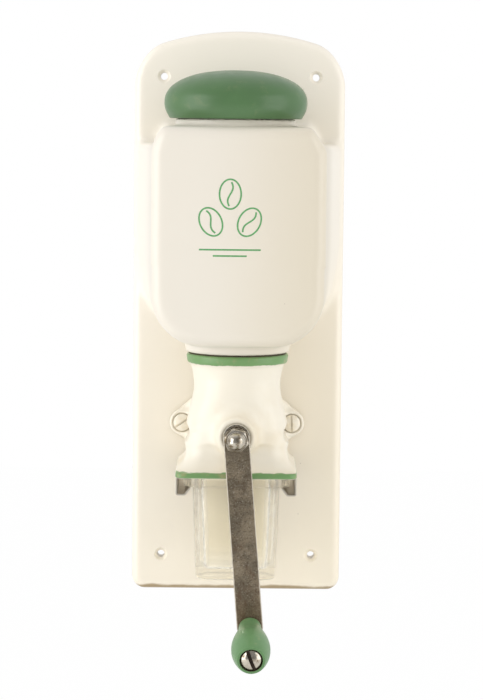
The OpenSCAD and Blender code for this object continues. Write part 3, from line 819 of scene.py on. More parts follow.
def ribbon(path, width, rise, sunk):
    """A closed flat strip along a path on the hopper's front."""
    rings = []
    for i, (x, z) in enumerate(path):
        before = path[max(i - 1, 0)]
        after = path[min(i + 1, len(path) - 1)]
        along = Vector((after[0] - before[0], after[1] - before[1])).normalized()
        across = Vector((-along.y, along.x)) * width / 2
        ring = []
        for sign, lift in ((1, -sunk), (1, rise), (-1, rise), (-1, -sunk)):
            px, pz = x + sign * across.x, z + sign * across.y
            ring.append((px, -float(hopper_front(px, pz)) - lift, pz))
        rings.append(ring)
    return loft(rings)


def make_ornament():
    """Three plain coffee beans in thin fired lines, on a pair of short rules."""
    points, faces = [], []

    def draw(path):
        strip_points, strip_faces = ribbon(path, size("ornament_line"), 0.04, 0.3)
        faces.extend(tuple(i + len(points) for i in face) for face in strip_faces)
        points.extend(strip_points)

    for cx, cz, turn in ((-18, 70, 28), (7, 70, -28), (-5.5, 88, 0)):
        turn = math.radians(turn)

        def on_bean(u, v):
            along, up = math.cos(turn), math.sin(turn)
            return (cx + u * along - v * up, cz + u * up + v * along)

        draw([on_bean(7.0 * math.cos(a), 9.6 * math.sin(a)) for a in np.linspace(0, 2 * math.pi, 49)])
        draw([on_bean(1.7 * math.sin(t * math.pi), 9.0 * t) for t in np.linspace(-0.86, 0.86, 25)])
    for cz, half in ((52, 20), (48, 11)):
        draw([(x - 5.5, cz) for x in np.linspace(-half, half, 13)])
    ornament = mesh_object("printed_beans", points, faces, sharp=30)
    finished(ornament, "root", "glazed_ceramic", printed_green())


# ---- mill casting ----


HOUSING_FOOT_X = 40
BARREL_BACK = 22
RING_R = 33.4
WAIST_R = 28.8
WAIST_Z = -42
BARREL_R = 31.5
BARREL_FRONT = 93
BOSS_R = 13
BOSS_FRONT = 108
EAR_R = 8.6
EAR_FRONT = 21
BURR_SEAT_R = 23
FEED_R = 20
BUSH_BORE_R = 9.1
COVER_R = 27.8
EAR_HOLE_R = 3.2
EAR_POCKET_R = 6.7


def casting_field(x, y, z):
    """Neck, barrel, front boss, skirt and ears in one casting, with its hollows."""
    depth = -y
    around = np.hypot(x, depth - AXIS_DEPTH)
    top, bottom = HOUSING_HIGH[2], HOUSING_LOW[2]
    flange = rounded(around - RING_R, np.abs(z - top + 3) - 3, 1.3)
    waist = WAIST_R + np.where(z > WAIST_Z, 0.0105, 0.0025) * (z - WAIST_Z) ** 2
    neck = np.maximum(around - waist, np.maximum(z - top + 1, SHAFT_Z - 2 - z))
    out = np.hypot(x, z - SHAFT_Z)
    barrel = np.maximum(rounded(out - BARREL_R, depth - BARREL_FRONT, 16), BARREL_BACK - depth)
    boss = rounded(out - BOSS_R, depth - BOSS_FRONT, 3)
    sunk = np.clip((-76 - z) / 16, 0, 2)
    skirt_x = np.abs(x) - 31.3 - 4.6 * sunk**1.7
    skirt_y = np.maximum(depth - 90 - 9 * sunk**1.7, 17 - depth)
    skirt = np.maximum(rounded(skirt_x, skirt_y, 12), np.maximum(z + 74, bottom - z))
    foot_xy = rounded(np.abs(x) - HOUSING_FOOT_X, np.maximum(depth + HOUSING_LOW[1], BARREL_BACK - depth), 6)
    foot = rounded(foot_xy, np.abs(z - bottom - 1.75) - 1.75, 1.2)
    ear = rounded(np.hypot(np.abs(x) - EAR_X, z - EAR_Z) - EAR_R, depth - EAR_FRONT, 2.2)
    side = np.abs(x)
    slope = (z + 54 + 0.69 * (side - 28)) / math.hypot(1, 0.69)
    hang = (-z - 84 + 0.5 * (side - 33)) / math.hypot(1, 0.5)
    web = smooth_max(smooth_max(slope, hang, 4), side - 41, 6)
    web = smooth_max(np.maximum(web, 27 - side), depth - 19, 3)
    ear = smooth_min(ear, web, 3)
    solid = smooth_min(smooth_min(neck, flange, 2.5), barrel, 12)
    solid = smooth_min(solid, boss, 9)
    solid = smooth_min(solid, skirt, 9)
    solid = smooth_min(solid, foot, 7)
    solid = smooth_min(solid, ear, 9)
    solid = np.maximum(solid, np.maximum(14 - depth, np.maximum(bottom - z, z - top)))
    solid = np.maximum(solid, np.where(z < bottom + 6, foot_xy, -1))
    funnel = np.maximum(around - np.clip(17 + (z - top + 22) * 10 / 22, 0, 27), top - 22 - z)
    drop = np.maximum(np.hypot(x, depth - 72) - 15, np.maximum(SHAFT_Z - z, z - top + 10))
    seat = np.maximum(out - BURR_SEAT_R, np.maximum(depth - 58, 20 - depth))
    feed = np.maximum(out - FEED_R, np.maximum(depth - 88, 50 - depth))
    bore = np.maximum(out - BUSH_BORE_R, 80 - depth)
    outlet = np.maximum(np.maximum(np.abs(x) - 16, np.maximum(26 - depth, depth - 40)), z - SHAFT_Z)
    cover = np.maximum(out - COVER_R, depth - BARREL_BACK)
    screw = np.hypot(np.abs(x) - EAR_X, z - EAR_Z)
    sink = np.maximum(screw - EAR_POCKET_R, EAR_FRONT - 2 - depth)
    hollow = np.minimum.reduce([funnel, drop, seat, feed, bore, outlet, cover, sink, screw - EAR_HOLE_R])
    return smooth_max(solid, -hollow, 0.8)


def make_mill_casting():
    """The enamelled casting below the hopper."""
    surface = surface_of(casting_field, HOUSING_LOW, HOUSING_HIGH, size("casting_cell"))
    casting = mesh_object("mill_casting", *surface)
    finished(casting, "root", "cream_enamel", enamelled_iron(), "mill_housing")


def slotted_screw(name, head_r, head_h, shank_r, shank_l, slot_w, flat=0.0):
    """A raised slotted screw, head up, its head's underside at height 0."""
    ball = (head_r**2 + head_h**2) / (2 * head_h)
    dome = []
    for i in range(13):
        a = math.asin(head_r / ball) * (1 - i / 12)
        dome.append((ball * math.sin(a), flat + head_h - ball + ball * math.cos(a)))
    lip = [(head_r - 0.25, 0), (head_r, 0.25), (head_r, flat)] if flat else [(head_r, 0)]
    profile = [(0, -shank_l), (shank_r, -shank_l), (shank_r, 0), *lip, *dome]
    screw = mesh_object(name, *turned(profile, steps=64), sharp=40)
    slot_z = flat - 0.3
    top = upright(0, 0, slot_z + head_h)
    cut(screw, box_cutter(top, 2 * head_r + 4, slot_w, 2 * head_h), sharp=40)
    # Slot faces are marked for a second material: painted shade in the slot.
    for face in screw.data.polygons:
        middle = face.center / MM
        in_slot = abs(middle.y) < slot_w / 2 + 0.02 and middle.z > slot_z - 0.02
        face.material_index = int(in_slot and face.normal.z < 0.05 or in_slot and middle.z < slot_z + 0.02)
    return screw


def geometry_tree(name, *inputs):
    """A geometry tree with these inputs, given as (name, kind), and one mesh as its output."""
    tree = bpy.data.node_groups.new(name, "GeometryNodeTree")
    for socket, kind in inputs:
        tree.interface.new_socket(socket, in_out="INPUT", socket_type="NodeSocket" + kind)
    tree.interface.new_socket("Mesh", in_out="OUTPUT", socket_type="NodeSocketGeometry")
    return Nodes(tree, "")


def grown(found, tree, **inputs):
    """Runs a geometry tree on an object and keeps the result as the object's mesh."""
    modifier = found.modifiers.new("grown", "NODES")
    modifier.node_group = tree
    sockets = {s.name.lower(): s.identifier for s in tree.interface.items_tree if s.in_out == "INPUT"}
    for name, value in inputs.items():
        modifier[sockets[name]] = value
    return baked(found)


def screws_tree():
    """Sets a screw on every point, turned by the point's own angles, and makes it one mesh."""
    n = geometry_tree("screws on points", ("Points", "Geometry"), ("Screw", "Object"), ("Finish", "Material"))
    given = n.add("NodeGroupInput").outputs
    screw = n.add("GeometryNodeObjectInfo", object=given["Screw"])
    turn = n.add("GeometryNodeInputNamedAttribute", {"data_type": "FLOAT_VECTOR"}, name="turn")
    angles = n.add("FunctionNodeEulerToRotation", _0=turn.outputs[0])
    spread = n.add("GeometryNodeInstanceOnPoints", points=given["Points"],
                   instance=screw.outputs["Geometry"], rotation=angles.outputs[0])
    real = n.add("GeometryNodeRealizeInstances", _0=spread.outputs[0])
    paint = n.add("GeometryNodeSetMaterial", geometry=real.outputs[0], material=given["Finish"])
    n.add("NodeGroupOutput", _0=paint.outputs[0])
    return n.tree


def screws_at(name, screw, places, material, body, slot, *nodes):
    """Repeats a screw at places given as (x, y, z, euler angles), through the screws tree."""
    tree = bpy.data.node_groups.get("screws on points") or screws_tree()
    mesh = bpy.data.meshes.new(name)
    mesh.from_pydata([Vector(p[:3]) * MM for p in places], [], [])
    turns = mesh.attributes.new("turn", "FLOAT_VECTOR", "POINT")
    for value, place in zip(turns.data, places):
        value.vector = place[3]
    found = grown(added(name, mesh), tree, screw=screw, finish=material)
    bpy.data.objects.remove(screw)
    return finished(found, body, slot, material, *nodes)


def make_screws():
    """The painted ear screws, and the screws of the rear cover."""
    front = math.radians(90)
    ear = slotted_screw("ear_screw", 5.9, 1.6, 2.95, 17, 1.3, flat=2.0)
    places = [(side * EAR_X, 2 - EAR_FRONT, EAR_Z, (front, math.radians(slot_angle), 0))
              for side, slot_angle in ((-1, -35), (1, 88))]
    screws_at("ear_screws", ear, places, painted_screws(), "root", "painted_screws", "housing_screws")
    zinc = metal("zinc_steel", looks().zinc, 0.3)
    cover = slotted_screw("cover_screw", 2.9, 1.8, 1.6, 10, 0.8)
    places = []
    for a in (90, 210, 330):
        x, z = 25 * math.cos(math.radians(a)), SHAFT_Z + 25 * math.sin(math.radians(a))
        places.append((x, -18, z, (-front, math.radians(a), 0)))
    screws_at("cover_screws", cover, places, zinc, "root", "zinc_steel", "rear_cover_screws")
    repainted(zinc, "housing_washers", "housing_nuts", "outer_burr_grub_screw", "spindle_nut")


# ---- rails and drawer glass ----


def folded_strip(path, bend):
    """A path with each of its inner corners turned into an arc."""
    rounded_path = [path[0]]
    for before, at, after in zip(path, path[1:], path[2:]):
        at = Vector(at)
        a, b = (Vector(before) - at).normalized(), (Vector(after) - at).normalized()
        half = a.angle(b) / 2
        reach = bend / math.tan(half)
        centre = at + (a + b).normalized() * bend / math.sin(half)
        start, end = at + a * reach - centre, at + b * reach - centre
        for i in range(7):
            mixed = start.slerp(end, i / 6)
            rounded_path.append(tuple(centre + mixed))
    return [*rounded_path, path[-1]]


def make_rails():
    """The two folded rails that carry the drawer glass."""
    plate = nickel("nickel_plate", 0.6, 0.3)
    t = 1.2
    out, floor, top = RAIL_HIGH[0], RAIL_LOW[2], RAIL_HIGH[2]
    lip_z = floor + 5.3
    middle = [(RAIL_LOW[0] + 0.4, top - t / 2), (out - t / 2, top - t / 2), (out - t / 2, floor + t / 2),
              (33.6, floor + t / 2), (RAIL_LOW[0] + t / 2, lip_z)]
    path = folded_strip(middle, 1.3)
    for side, name in ((1, "rail_right"), (-1, "rail_left")):
        outline = []
        for sign in (1, -1):
            edge = []
            for i, (x, z) in enumerate(path):
                before = Vector(path[max(i - 1, 0)])
                after = Vector(path[min(i + 1, len(path) - 1)])
                along = (after - before).normalized()
                edge.append((side * (x - sign * along.y * t / 2), z + sign * along.x * t / 2))
            outline += edge if sign == 1 else edge[::-1]
        rings = [[(x, y, z) for x, z in outline] for y in (RAIL_LOW[1], RAIL_HIGH[1])]
        rail = mesh_object(name + "_strip", *loft(rings), sharp=40)
        bevel = rail.modifiers.new("soft edges", "BEVEL")
        bevel.width = 0.2 * MM
        bevel.segments = 2
        bevel.limit_method = "ANGLE"
        bevel.angle_limit = math.radians(50)
        baked(rail)
        finished(rail, "root", "nickel_plate", plate, name)
    repainted(plate, "rail_screws")


def rounded_ring(half_x, back, front, corner, z, steps=12):
    """One level of the drawer glass: a rectangle with round corners, from back to front depth."""
    ring = []
    middle_y = -(back + front) / 2
    half_y = (front - back) / 2
    for quarter, (sx, sy) in enumerate(((1, 1), (-1, 1), (-1, -1), (1, -1))):
        for i in range(steps + 1):
            a = math.radians(90 * quarter + 90 * i / steps)
            ring.append((sx * (half_x - corner) + corner * math.cos(a),
                         middle_y + sy * (half_y - corner) + corner * math.sin(a), z))
    return ring


RIM_H = 5.3
GLASS_FLOOR = 7


def round_edge(radius, *angles):
    """Pairs of steps round an edge: along it, from the side's angle of 0 to the end's of 90, and across."""
    turns = [math.radians(a) for a in angles]
    return [(radius * (1 - math.sin(a)), radius * (1 - math.cos(a))) for a in turns]


def make_drawer_glass():
    """The pressed glass drawer: a rim that hangs in the rails, tapered walls and a thick floor."""
    top, low = GLASS_HIGH[2], GLASS_LOW[2]
    back, front = -GLASS_HIGH[1], -GLASS_LOW[1]
    rim = GLASS_HIGH[0]
    rim_low = top - RIM_H
    floor = low + GLASS_FLOOR
    levels = []

    def level(half_x, b, f, corner, z):
        levels.append(rounded_ring(half_x, b, f, corner, z))

    def wall(t, inset=0.0):
        """Outer wall at a share t of the way down."""
        return 28.9 - 2.2 * t - inset, back + 3 + 3 * t + inset, front - 3 - 3 * t - inset, 8 - inset * 0.5

    for up, inset in round_edge(3.0, 90, 60, 30, 0):
        level(*wall(1, inset), low + up)
    for t in (0.8, 0.6, 0.4, 0.2):
        level(*wall(t), rim_low - (rim_low - low) * t)
    half, b, f, corner = wall(0.0)
    level(half, b, f, corner, rim_low - 1.2)
    level(half + 0.4, b - 0.4, f + 0.4, corner, rim_low - 0.3)
    level(half + 1.3, b - 1.0, f + 1.0, corner, rim_low)
    for s, up in round_edge(1.2, 0, 30, 60, 90):
        level(rim - s, back + s, front - s, 5, rim_low + up)
    for s, down in round_edge(1.2, 90, 60, 30, 0):
        level(rim - s, back + s, front - s, 5, top - down)
    for s, down in round_edge(1.0, 0, 45, 90):
        level(23.6 + s, back + 8.5 - s, front - 8.5 + s, 5, top - down)
    for t in (0.25, 0.5, 0.75):
        level(23.6 - 2.4 * t, back + 8.5 + 3 * t, front - 8.5 - 3 * t, 5, top - 1 - (top - floor - 4) * t)
    for up, s in round_edge(3.0, 0, 30, 60, 90):
        level(21.2 - s, back + 11.5 + s, front - 11.5 - s, 5 - s * 0.5, floor + up)
    glass = mesh_object("pressed_glass_drawer", *loft(levels), sharp=60)
    finished(glass, "drawer", "pressed_glass", pressed_glass(), "drawer_glass")


# ---- lid ----


def make_lid():
    """The turned and painted lid, on its bare wooden plug."""
    radius = LID_R
    widest = LID_LOW[2] + 10.5
    rise = LID_HIGH[2] - widest
    dome = [(radius * math.sin(a) ** (2 / 2.25), widest + rise * math.cos(a) ** (2 / 2.25))
            for a in np.linspace(0.02, math.pi / 2, 34)]
    under = [(radius * math.sqrt(1 - (h / 26) ** 2), widest - h) for h in np.linspace(0.6, 9.2, 10)]
    lip_r, lip_z = under[-1]
    lip = [(lip_r - 1.3 * (1 - math.cos(a)) - 0.25 * math.sin(a), lip_z - 1.3 * math.sin(a))
           for a in np.linspace(0.3, math.pi / 2, 5)]
    profile = [(0, widest + rise), *dome, *under, *lip, (lip[-1][0] - 1, LID_LOW[2]), (0, LID_LOW[2])]
    lid = mesh_object("turned_lid", *turned(profile, upright(NECK_X, -AXIS_DEPTH, 0), 128))
    lid.data.set_sharp_from_angle(angle=math.radians(50))
    finished(lid, "lid", "green_painted_wood", green_wood("green_lid", 60, shade_by=0.8), "lid_cap")
    repainted(bare_wood(), "lid_plug")


# ---- crank ----


HUB_DEPTH = 120
END_DEPTH = -KNOB_PIVOT[1]
ARM_W = 17
ARM_T = 4
ARM_FLAT = 10
ARM_TOP = 7.6
KNOB_LEAN = math.asin(min(1, -KNOB_AXIS.z / math.cos(REST_ANGLE)))


def crank_frame():
    """The crank's frame at rest: its -Z runs along the arm."""
    return Matrix.Translation((0, 0, SHAFT_Z)) @ Matrix.Rotation(-REST_ANGLE, 4, "Y")


def knob_frame():
    """The knob's frame: its Z runs along the spindle, away from the arm."""
    across = Vector((math.cos(REST_ANGLE), 0, math.sin(REST_ANGLE)))
    turn = Matrix((across, KNOB_AXIS.cross(across), KNOB_AXIS)).transposed().to_4x4()
    return Matrix.Translation(KNOB_PIVOT) @ turn


def arm_line(r):
    """Depth and slope of the arm's middle line at a distance from the shaft."""
    span = CRANK_R - ARM_FLAT
    t = (r - ARM_FLAT) / span
    rise, lean = END_DEPTH - HUB_DEPTH, math.tan(KNOB_LEAN)
    if t <= 0:
        return HUB_DEPTH, 0.0
    if t >= 1:
        return END_DEPTH - lean * (r - CRANK_R), -lean
    depth = HUB_DEPTH + rise * (3 * t * t - 2 * t**3) + lean * span * (t * t - t**3)
    slope = (rise * 6 * t * (1 - t) + lean * span * (2 * t - 3 * t * t)) / span
    return depth, slope


def make_crank_arm():
    """The flat bar, bowed forward, with round ends and softened edges."""
    half = ARM_W / 2
    edge = 0.7
    stations = [-ARM_TOP * math.cos(a) for a in np.linspace(0, math.pi / 2, 16)]
    stations += list(np.linspace(0, CRANK_R, 60)[1:-1])
    stations += [CRANK_R + half * math.sin(a) for a in np.linspace(0, math.pi / 2, 16)]
    place = crank_frame()
    rings = []
    for r in stations:
        beyond = max(-r * half / ARM_TOP, r - CRANK_R, 0)
        width = math.sqrt(max(half**2 - beyond**2, 0)) + 1e-4
        thick = ARM_T / 2
        if beyond > half - edge:
            thick -= edge - math.sqrt(max(edge**2 - (beyond - half + edge) ** 2, 0))
        corner = min(edge, width, thick)
        depth, slope = arm_line(r)
        lie = Vector((0, slope, 1)).normalized()
        ring = []
        for sx, sn, start in ((1, 1, 0), (-1, 1, 90), (-1, -1, 180), (1, -1, 270)):
            for i in range(5):
                a = math.radians(start + 22.5 * i)
                x = sx * (width - corner) + corner * math.cos(a)
                n = sn * (thick - corner) + corner * math.sin(a)
                ring.append(place @ Vector((x, -depth - n * lie.z, -r + n * lie.y)))
        rings.append(ring)
    arm = mesh_object("bowed_arm", *loft(rings), sharp=60)
    finished(arm, "crank", "worn_steel", worn_steel(), "crank_arm")


def make_crank_nut():
    """The domed cap nut that holds the arm on its shaft."""
    across, height, dome_r = 14.3, 6.0, 5.6
    place = facing(0, 0, HUB_DEPTH + ARM_T / 2)
    place = Matrix.Translation((0, 0, SHAFT_Z)) @ Matrix.Rotation(math.radians(12.5), 4, "Y") @ place
    steps = 144
    levels = [(z, 99) for z in (0.0, 0.4, 2.5, 4.4)]
    levels[0] = (0.0, across / 2 + 0.75)
    for i in range(9):
        z = 4.6 + (height - 4.6) * i / 8
        levels.append((z, across / 2 - 0.15 + (height - z) * 1.05))
    levels += [(height + 0.02, dome_r + 0.35), (height + 0.35, dome_r + 0.05), (8.0, dome_r)]
    for a in np.linspace(8, 90, 14):
        a = math.radians(a)
        levels.append((8 + dome_r * math.sin(a), dome_r * math.cos(a) + 1e-5))
    rings = []
    for z, limit in levels:
        ring = []
        for i in range(steps):
            a = 2 * math.pi * i / steps
            flat = across / 2 / math.cos((a % (math.pi / 3)) - math.pi / 6)
            r = min(flat, limit)
            ring.append(place @ Vector((r * math.cos(a), r * math.sin(a), z)))
        rings.append(ring)
    nut = mesh_object("cap_nut", *loft(rings), sharp=28)
    # The nut's lower part takes a painted brown reflection.
    finished(nut, "crank", "polished_nickel", nickel("polished_nickel", 0.46, 0.15, SHAFT_Z - 4.5),
             "crank_nut")


KNOB_START = 3.2
KNOB_LENGTH = 58
HEAD_R = 6.9


def make_knob():
    """The turned knob, with a recess around the head of its spindle."""
    shape = [(7.4, 0), (7.5, 0.07), (8.1, 0.16), (9.1, 0.26), (10.2, 0.36), (11.3, 0.46), (12.2, 0.57),
             (12.5, 0.67), (12.2, 0.77), (11.3, 0.86), (10.1, 0.94), (8.85, 0.998)]
    outside = [(r, h * KNOB_LENGTH) for r, h in smooth_profile(shape)]
    recess = 7.3
    end = KNOB_LENGTH
    profile = [(3.25, 0), (6.8, 0), (7.25, 0.3), *outside[2:], (8.5, end), (recess + 0.25, end),
               (recess, end - 0.3), (recess, end - 4), (3.25, end - 4), (3.25, 0)]
    rings, faces = turned(profile)
    knob = mesh_object("turned_knob", rings, faces[:-2], sharp=40)
    # Faces in the recess take the second material: painted shade.
    for face in knob.data.polygons:
        middle = face.center / MM
        in_gap = math.hypot(middle.x, middle.y) < recess + 0.02 and middle.z > end - 5
        face.material_index = int(in_gap)
    place = knob_frame() @ Matrix.Translation((0, 0, KNOB_START))
    knob.data.transform(in_metres(place))
    paint = green_wood("green_knob", 140, KNOB_PIVOT[2] - 22, 0.5, 1.2)
    finished(knob, "grip", "green_painted_wood", paint, "knob", second=dark_grime())


def make_spindle():
    """The screw that the knob turns on, with its polished slotted head."""
    shank = KNOB_START + KNOB_LENGTH - 3.5 - ARM_T / 2
    spindle = slotted_screw("spindle_screw", HEAD_R, 3.4, 3.1, shank, 2.3, flat=2.5)
    place = knob_frame() @ Matrix.Translation((0, 0, KNOB_START + KNOB_LENGTH - 3.5))
    spindle.data.transform(in_metres(place @ Matrix.Rotation(math.radians(106), 4, "Z")))
    stub = mesh_object("stub", *turned([(0, -8.5), (2.2, -8.5), (2.5, -8.2), (2.5, 0.5), (0, 0.5)],
                                       knob_frame() @ Matrix.Translation((0, 0, ARM_T / 2)), 48), sharp=40)
    joined(spindle, stub)
    # The head's lower part takes a painted brown reflection.
    finish = nickel("spindle_nickel", 0.5, 0.16, KNOB_PIVOT[2] - 16)
    finished(spindle, "crank", "polished_nickel", finish, "knob_spindle", second=dark_grime())


def make_inner_metal():
    """Finishes for the pieces that keep their construction shape: shaft, burrs, bushes and the rest."""
    c = looks()
    finishes = {
        metal("turned_steel", c.zinc, 0.28, 500, (1, 0.2, 1)): ("main_shaft", "burr_pin"),
        metal("browned_steel", shaded(c.patina, 0.42), 0.42, 500, (1, 0.2, 1)): ("adjusting_nut",),
        painted_screws("painted_bush"): ("front_bush",),
        metal("bronze", c.bronze, 0.32): ("rear_bush", "knob_washer"),
        metal("oiled_steel", shaded(c.zinc, 0.3), 0.4): ("thrust_washer",),
        metal("brass_screw", c.bronze, 0.3): ("lid_screw",),
        rough_iron("bare_iron", 600): ("rear_cover", "feed_worm"),
        rough_iron("burr_iron", 1200): ("outer_burr", "inner_burr"),
        rubber(): ("throat_gasket",),
    }
    for material, nodes in finishes.items():
        repainted(material, *nodes)


def make_spring():
    """The shaft spring, as a round wire coiled by a tree of its own."""
    low, high = node_box("shaft_spring")
    wire = 0.7
    n = geometry_tree("coiled wire", ("Radius", "Float"), ("Length", "Float"), ("Wire", "Float"),
                      ("Finish", "Material"))
    given = n.add("NodeGroupInput").outputs
    coil = n.add("GeometryNodeCurveSpiral", resolution=32, rotations=3.0, start_radius=given["Radius"],
                 end_radius=given["Radius"], height=given["Length"])
    section = n.add("GeometryNodeCurvePrimitiveCircle", resolution=12, radius=given["Wire"])
    sweep = n.add("GeometryNodeCurveToMesh", curve=coil.outputs[0], profile_curve=section.outputs[0],
                  fill_caps=True)
    place = n.add("GeometryNodeTransform", geometry=sweep.outputs[0], rotation=(math.radians(90), 0, 0),
                  translation=(0, high[1] * MM - wire * MM, SHAFT_Z * MM))
    real = n.add("GeometryNodeRealizeInstances", _0=place.outputs[0])
    paint = n.add("GeometryNodeSetMaterial", geometry=real.outputs[0], material=given["Finish"])
    n.add("NodeGroupOutput", _0=paint.outputs[0])
    material = metal("spring_steel", looks().zinc, 0.3)
    spring = added("coiled_spring", bpy.data.meshes.new("coiled_spring"))
    grown(spring, n.tree, radius=((high[0] - low[0]) / 2 - wire) * MM,
          length=(high[1] - low[1] - 2 * wire) * MM, wire=wire * MM, finish=material)
    finished(spring, "crank", "turned_steel", material, "shaft_spring")


# ---- stage ----


def make_world():
    """Plain soft light from all round; what looks past the object sees white."""
    world = bpy.data.worlds.new("studio")
    bpy.context.scene.world = world
    world.use_nodes = True
    n = Nodes(world.node_tree, "ShaderNode")
    white = (1, 1, 1)
    light = n.add("Background", color=white, strength=0.82)
    # The room behind the camera is dim, so metal shows a dark middle between the side lights.
    depth = n.add("SeparateXYZ", vector=n.add("TexCoord").outputs["Generated"]).outputs["Y"]
    dim = n.add("MapRange", value=depth, from_min=-0.55, from_max=0.15, to_min=0.30, to_max=0.8)
    room = n.add("Background", color=white, strength=dim.outputs[0])
    plain = n.add("Background", color=white, strength=1.0)
    path = n.add("LightPath").outputs
    lit = n.add("MixShader", _0=path["Is Glossy Ray"], _1=light.outputs[0], _2=room.outputs[0])
    direct = n.add("Math", {"operation": "MAXIMUM"}, _0=path["Is Camera Ray"], _1=path["Is Transmission Ray"])
    seen = n.add("MixShader", _0=direct.outputs[0], _1=lit.outputs[0], _2=plain.outputs[0])
    n.add("OutputWorld", surface=seen.outputs[0])


def area_light(name, place, aim, width, height, power):
    """A soft box that faces a point."""
    data = bpy.data.lights.new(name, "AREA")
    data.shape = "RECTANGLE"
    data.size = width
    data.size_y = height
    data.energy = power
    lamp = added(name, data)
    lamp.location = place
    lamp.rotation_euler = (Vector(aim) - Vector(place)).to_track_quat("-Z", "Y").to_euler()


FLOOR_DROP = 0.30
FLOOR_HALF = 3.0
CAMERA_PLACE = (0.0027, -1.799, 0.1365)
CAMERA_PITCH = -5.08
CAMERA_ROLL = 0.57
CAMERA_LENS = 133.7


def make_stage():
    """A pale floor below the mill, two tall soft boxes, and the camera."""
    scene = bpy.context.scene
    floor_z = (CAD_BOX[0][2] - FLOOR_DROP) / MM
    half = FLOOR_HALF / MM
    points = [(sx * half, sy * half, floor_z) for sx, sy in ((-1, -1), (1, -1), (1, 1), (-1, 1))]
    floor = mesh_object("floor", points, [(0, 1, 2, 3)])
    f = Finish("floor_white")
    pale = f.add("BsdfPrincipled", base_color=(0.85, 0.85, 0.84), roughness=0.8)
    white = f.add("Emission", color=(1, 1, 1), strength=1.0)
    path = f.add("LightPath")
    direct = f.math("MAXIMUM", path.outputs["Is Camera Ray"], path.outputs["Is Transmission Ray"])
    mixed = f.add("MixShader", _0=f.math("MULTIPLY", direct, 0.985), _1=pale.outputs[0], _2=white.outputs[0])
    f.tree.links.new(mixed.outputs[0], f.output.inputs["Surface"])
    floor.data.materials.append(f.material)
    reach = scene.mill_sizes.light_distance
    area_light("left box", (-reach, -0.62, 0.12), (0, -0.05, 0.0), 1.1, 1.7, 13)
    area_light("right box", (reach, -0.62, 0.12), (0, -0.05, 0.0), 1.1, 1.7, 8.5)
    camera = added("camera", bpy.data.cameras.new("camera"))
    camera.data.lens = CAMERA_LENS
    camera.data.sensor_width = 36
    camera.matrix_world = (Matrix.Translation(CAMERA_PLACE)
                           @ Matrix.Rotation(math.radians(90 + CAMERA_PITCH), 4, "X")
                           @ Matrix.Rotation(math.radians(CAMERA_ROLL), 4, "Z"))
    scene.camera = camera
    scene.view_settings.view_transform = "Standard"
    make_world()


# ---- add-on ----


class MILL_OT_stage(bpy.types.Operator):
    """Set out the floor, the lights, the world and the camera"""

    bl_idname = "mill.stage"
    bl_label = "Stage"
    bl_options = {"REGISTER", "UNDO"}

    def execute(self, context):
        make_stage()
        return {"FINISHED"}


class MILL_OT_ceramic_body(bpy.types.Operator):
    """Cast the backplate and the hopper in one piece"""

    bl_idname = "mill.ceramic_body"
    bl_label = "Ceramic body"
    bl_options = {"REGISTER", "UNDO"}

    def execute(self, context):
        make_ceramic_body()
        return {"FINISHED"}


class MILL_OT_ornament(bpy.types.Operator):
    """Print the three beans on the hopper's front"""

    bl_idname = "mill.ornament"
    bl_label = "Ornament"
    bl_options = {"REGISTER", "UNDO"}

    def execute(self, context):
        make_ornament()
        return {"FINISHED"}


class MILL_OT_mill_casting(bpy.types.Operator):
    """Cast the enamelled mill below the hopper"""

    bl_idname = "mill.mill_casting"
    bl_label = "Mill casting"
    bl_options = {"REGISTER", "UNDO"}

    def execute(self, context):
        make_mill_casting()
        return {"FINISHED"}


class MILL_OT_screws(bpy.types.Operator):
    """Drive in the ear screws and the cover's screws"""

    bl_idname = "mill.screws"
    bl_label = "Screws"
    bl_options = {"REGISTER", "UNDO"}

    def execute(self, context):
        make_screws()
        return {"FINISHED"}


class MILL_OT_rails(bpy.types.Operator):
    """Fold the two rails of the drawer"""

    bl_idname = "mill.rails"
    bl_label = "Rails"
    bl_options = {"REGISTER", "UNDO"}

    def execute(self, context):
        make_rails()
        return {"FINISHED"}


class MILL_OT_drawer_glass(bpy.types.Operator):
    """Press the glass drawer"""

    bl_idname = "mill.drawer_glass"
    bl_label = "Drawer glass"
    bl_options = {"REGISTER", "UNDO"}

    def execute(self, context):
        make_drawer_glass()
        return {"FINISHED"}


class MILL_OT_lid(bpy.types.Operator):
    """Turn the lid and paint it"""

    bl_idname = "mill.lid"
    bl_label = "Lid"
    bl_options = {"REGISTER", "UNDO"}

    def execute(self, context):
        make_lid()
        return {"FINISHED"}


class MILL_OT_crank_arm(bpy.types.Operator):
    """Bend the flat arm of the crank"""

    bl_idname = "mill.crank_arm"
    bl_label = "Crank arm"
    bl_options = {"REGISTER", "UNDO"}

    def execute(self, context):
        make_crank_arm()
        return {"FINISHED"}


class MILL_OT_crank_nut(bpy.types.Operator):
    """Set the domed nut on the crank's hub"""

    bl_idname = "mill.crank_nut"
    bl_label = "Crank nut"
    bl_options = {"REGISTER", "UNDO"}

    def execute(self, context):
        make_crank_nut()
        return {"FINISHED"}


class MILL_OT_knob(bpy.types.Operator):
    """Turn the knob and paint it"""

    bl_idname = "mill.knob"
    bl_label = "Knob"
    bl_options = {"REGISTER", "UNDO"}

    def execute(self, context):
        make_knob()
        return {"FINISHED"}


class MILL_OT_spindle(bpy.types.Operator):
    """Set the slotted spindle in the knob"""

    bl_idname = "mill.spindle"
    bl_label = "Spindle"
    bl_options = {"REGISTER", "UNDO"}

    def execute(self, context):
        make_spindle()
        return {"FINISHED"}


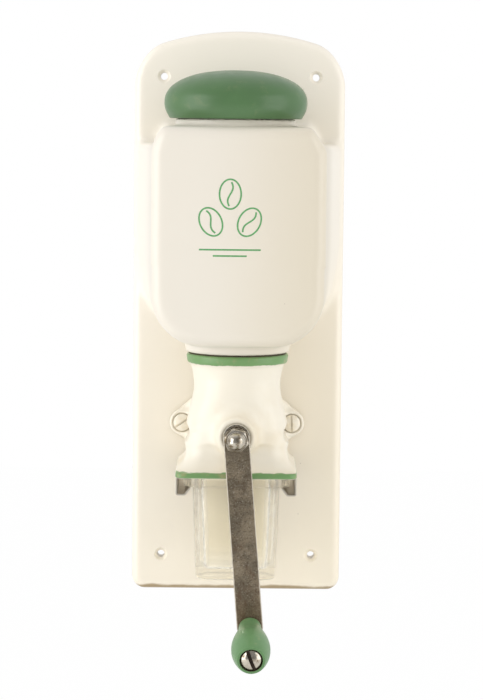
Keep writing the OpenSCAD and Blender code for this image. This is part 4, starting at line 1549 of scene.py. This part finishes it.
class MILL_OT_spring(bpy.types.Operator):
    """Wind the shaft's spring"""

    bl_idname = "mill.spring"
    bl_label = "Spring"
    bl_options = {"REGISTER", "UNDO"}

    def execute(self, context):
        make_spring()
        return {"FINISHED"}


class MILL_OT_inner_metal(bpy.types.Operator):
    """Finish the shaft, the burrs, the bushes and the gasket"""

    bl_idname = "mill.inner_metal"
    bl_label = "Inner metal"
    bl_options = {"REGISTER", "UNDO"}

    def execute(self, context):
        make_inner_metal()
        return {"FINISHED"}


OPERATORS = [MILL_OT_stage, MILL_OT_ceramic_body, MILL_OT_ornament, MILL_OT_mill_casting,
             MILL_OT_screws, MILL_OT_rails, MILL_OT_drawer_glass, MILL_OT_lid, MILL_OT_crank_arm,
             MILL_OT_crank_nut, MILL_OT_knob, MILL_OT_spindle, MILL_OT_spring, MILL_OT_inner_metal]


class MILL_PT_panel(bpy.types.Panel):
    """Lists the mill's pieces and its settings in the sidebar."""

    bl_label = "Coffee Mill"
    bl_idname = "MILL_PT_panel"
    bl_space_type = "VIEW_3D"
    bl_region_type = "UI"
    bl_category = "Coffee Mill"

    def draw(self, context):
        for operator in OPERATORS:
            self.layout.operator(operator.bl_idname)
        for group in (context.scene.mill_sizes, context.scene.mill_colours):
            for name in group.bl_rna.properties.keys():
                if name not in ("rna_type", "name"):
                    self.layout.prop(group, name)


CLASSES = [MillColours, MillSizes, *OPERATORS, MILL_PT_panel]


def register():
    """Registers the classes and adds the settings to the scene."""
    for cls in CLASSES:
        bpy.utils.register_class(cls)
    bpy.types.Scene.mill_colours = bpy.props.PointerProperty(type=MillColours)
    bpy.types.Scene.mill_sizes = bpy.props.PointerProperty(type=MillSizes)


def unregister():
    """Undoes register."""
    del bpy.types.Scene.mill_sizes
    del bpy.types.Scene.mill_colours
    for cls in reversed(CLASSES):
        bpy.utils.unregister_class(cls)


def main():
    """Builds every piece in order."""
    register()
    for operator in OPERATORS:
        getattr(bpy.ops.mill, operator.bl_idname.split(".")[1])()


if __name__ == "__main__":
    main()
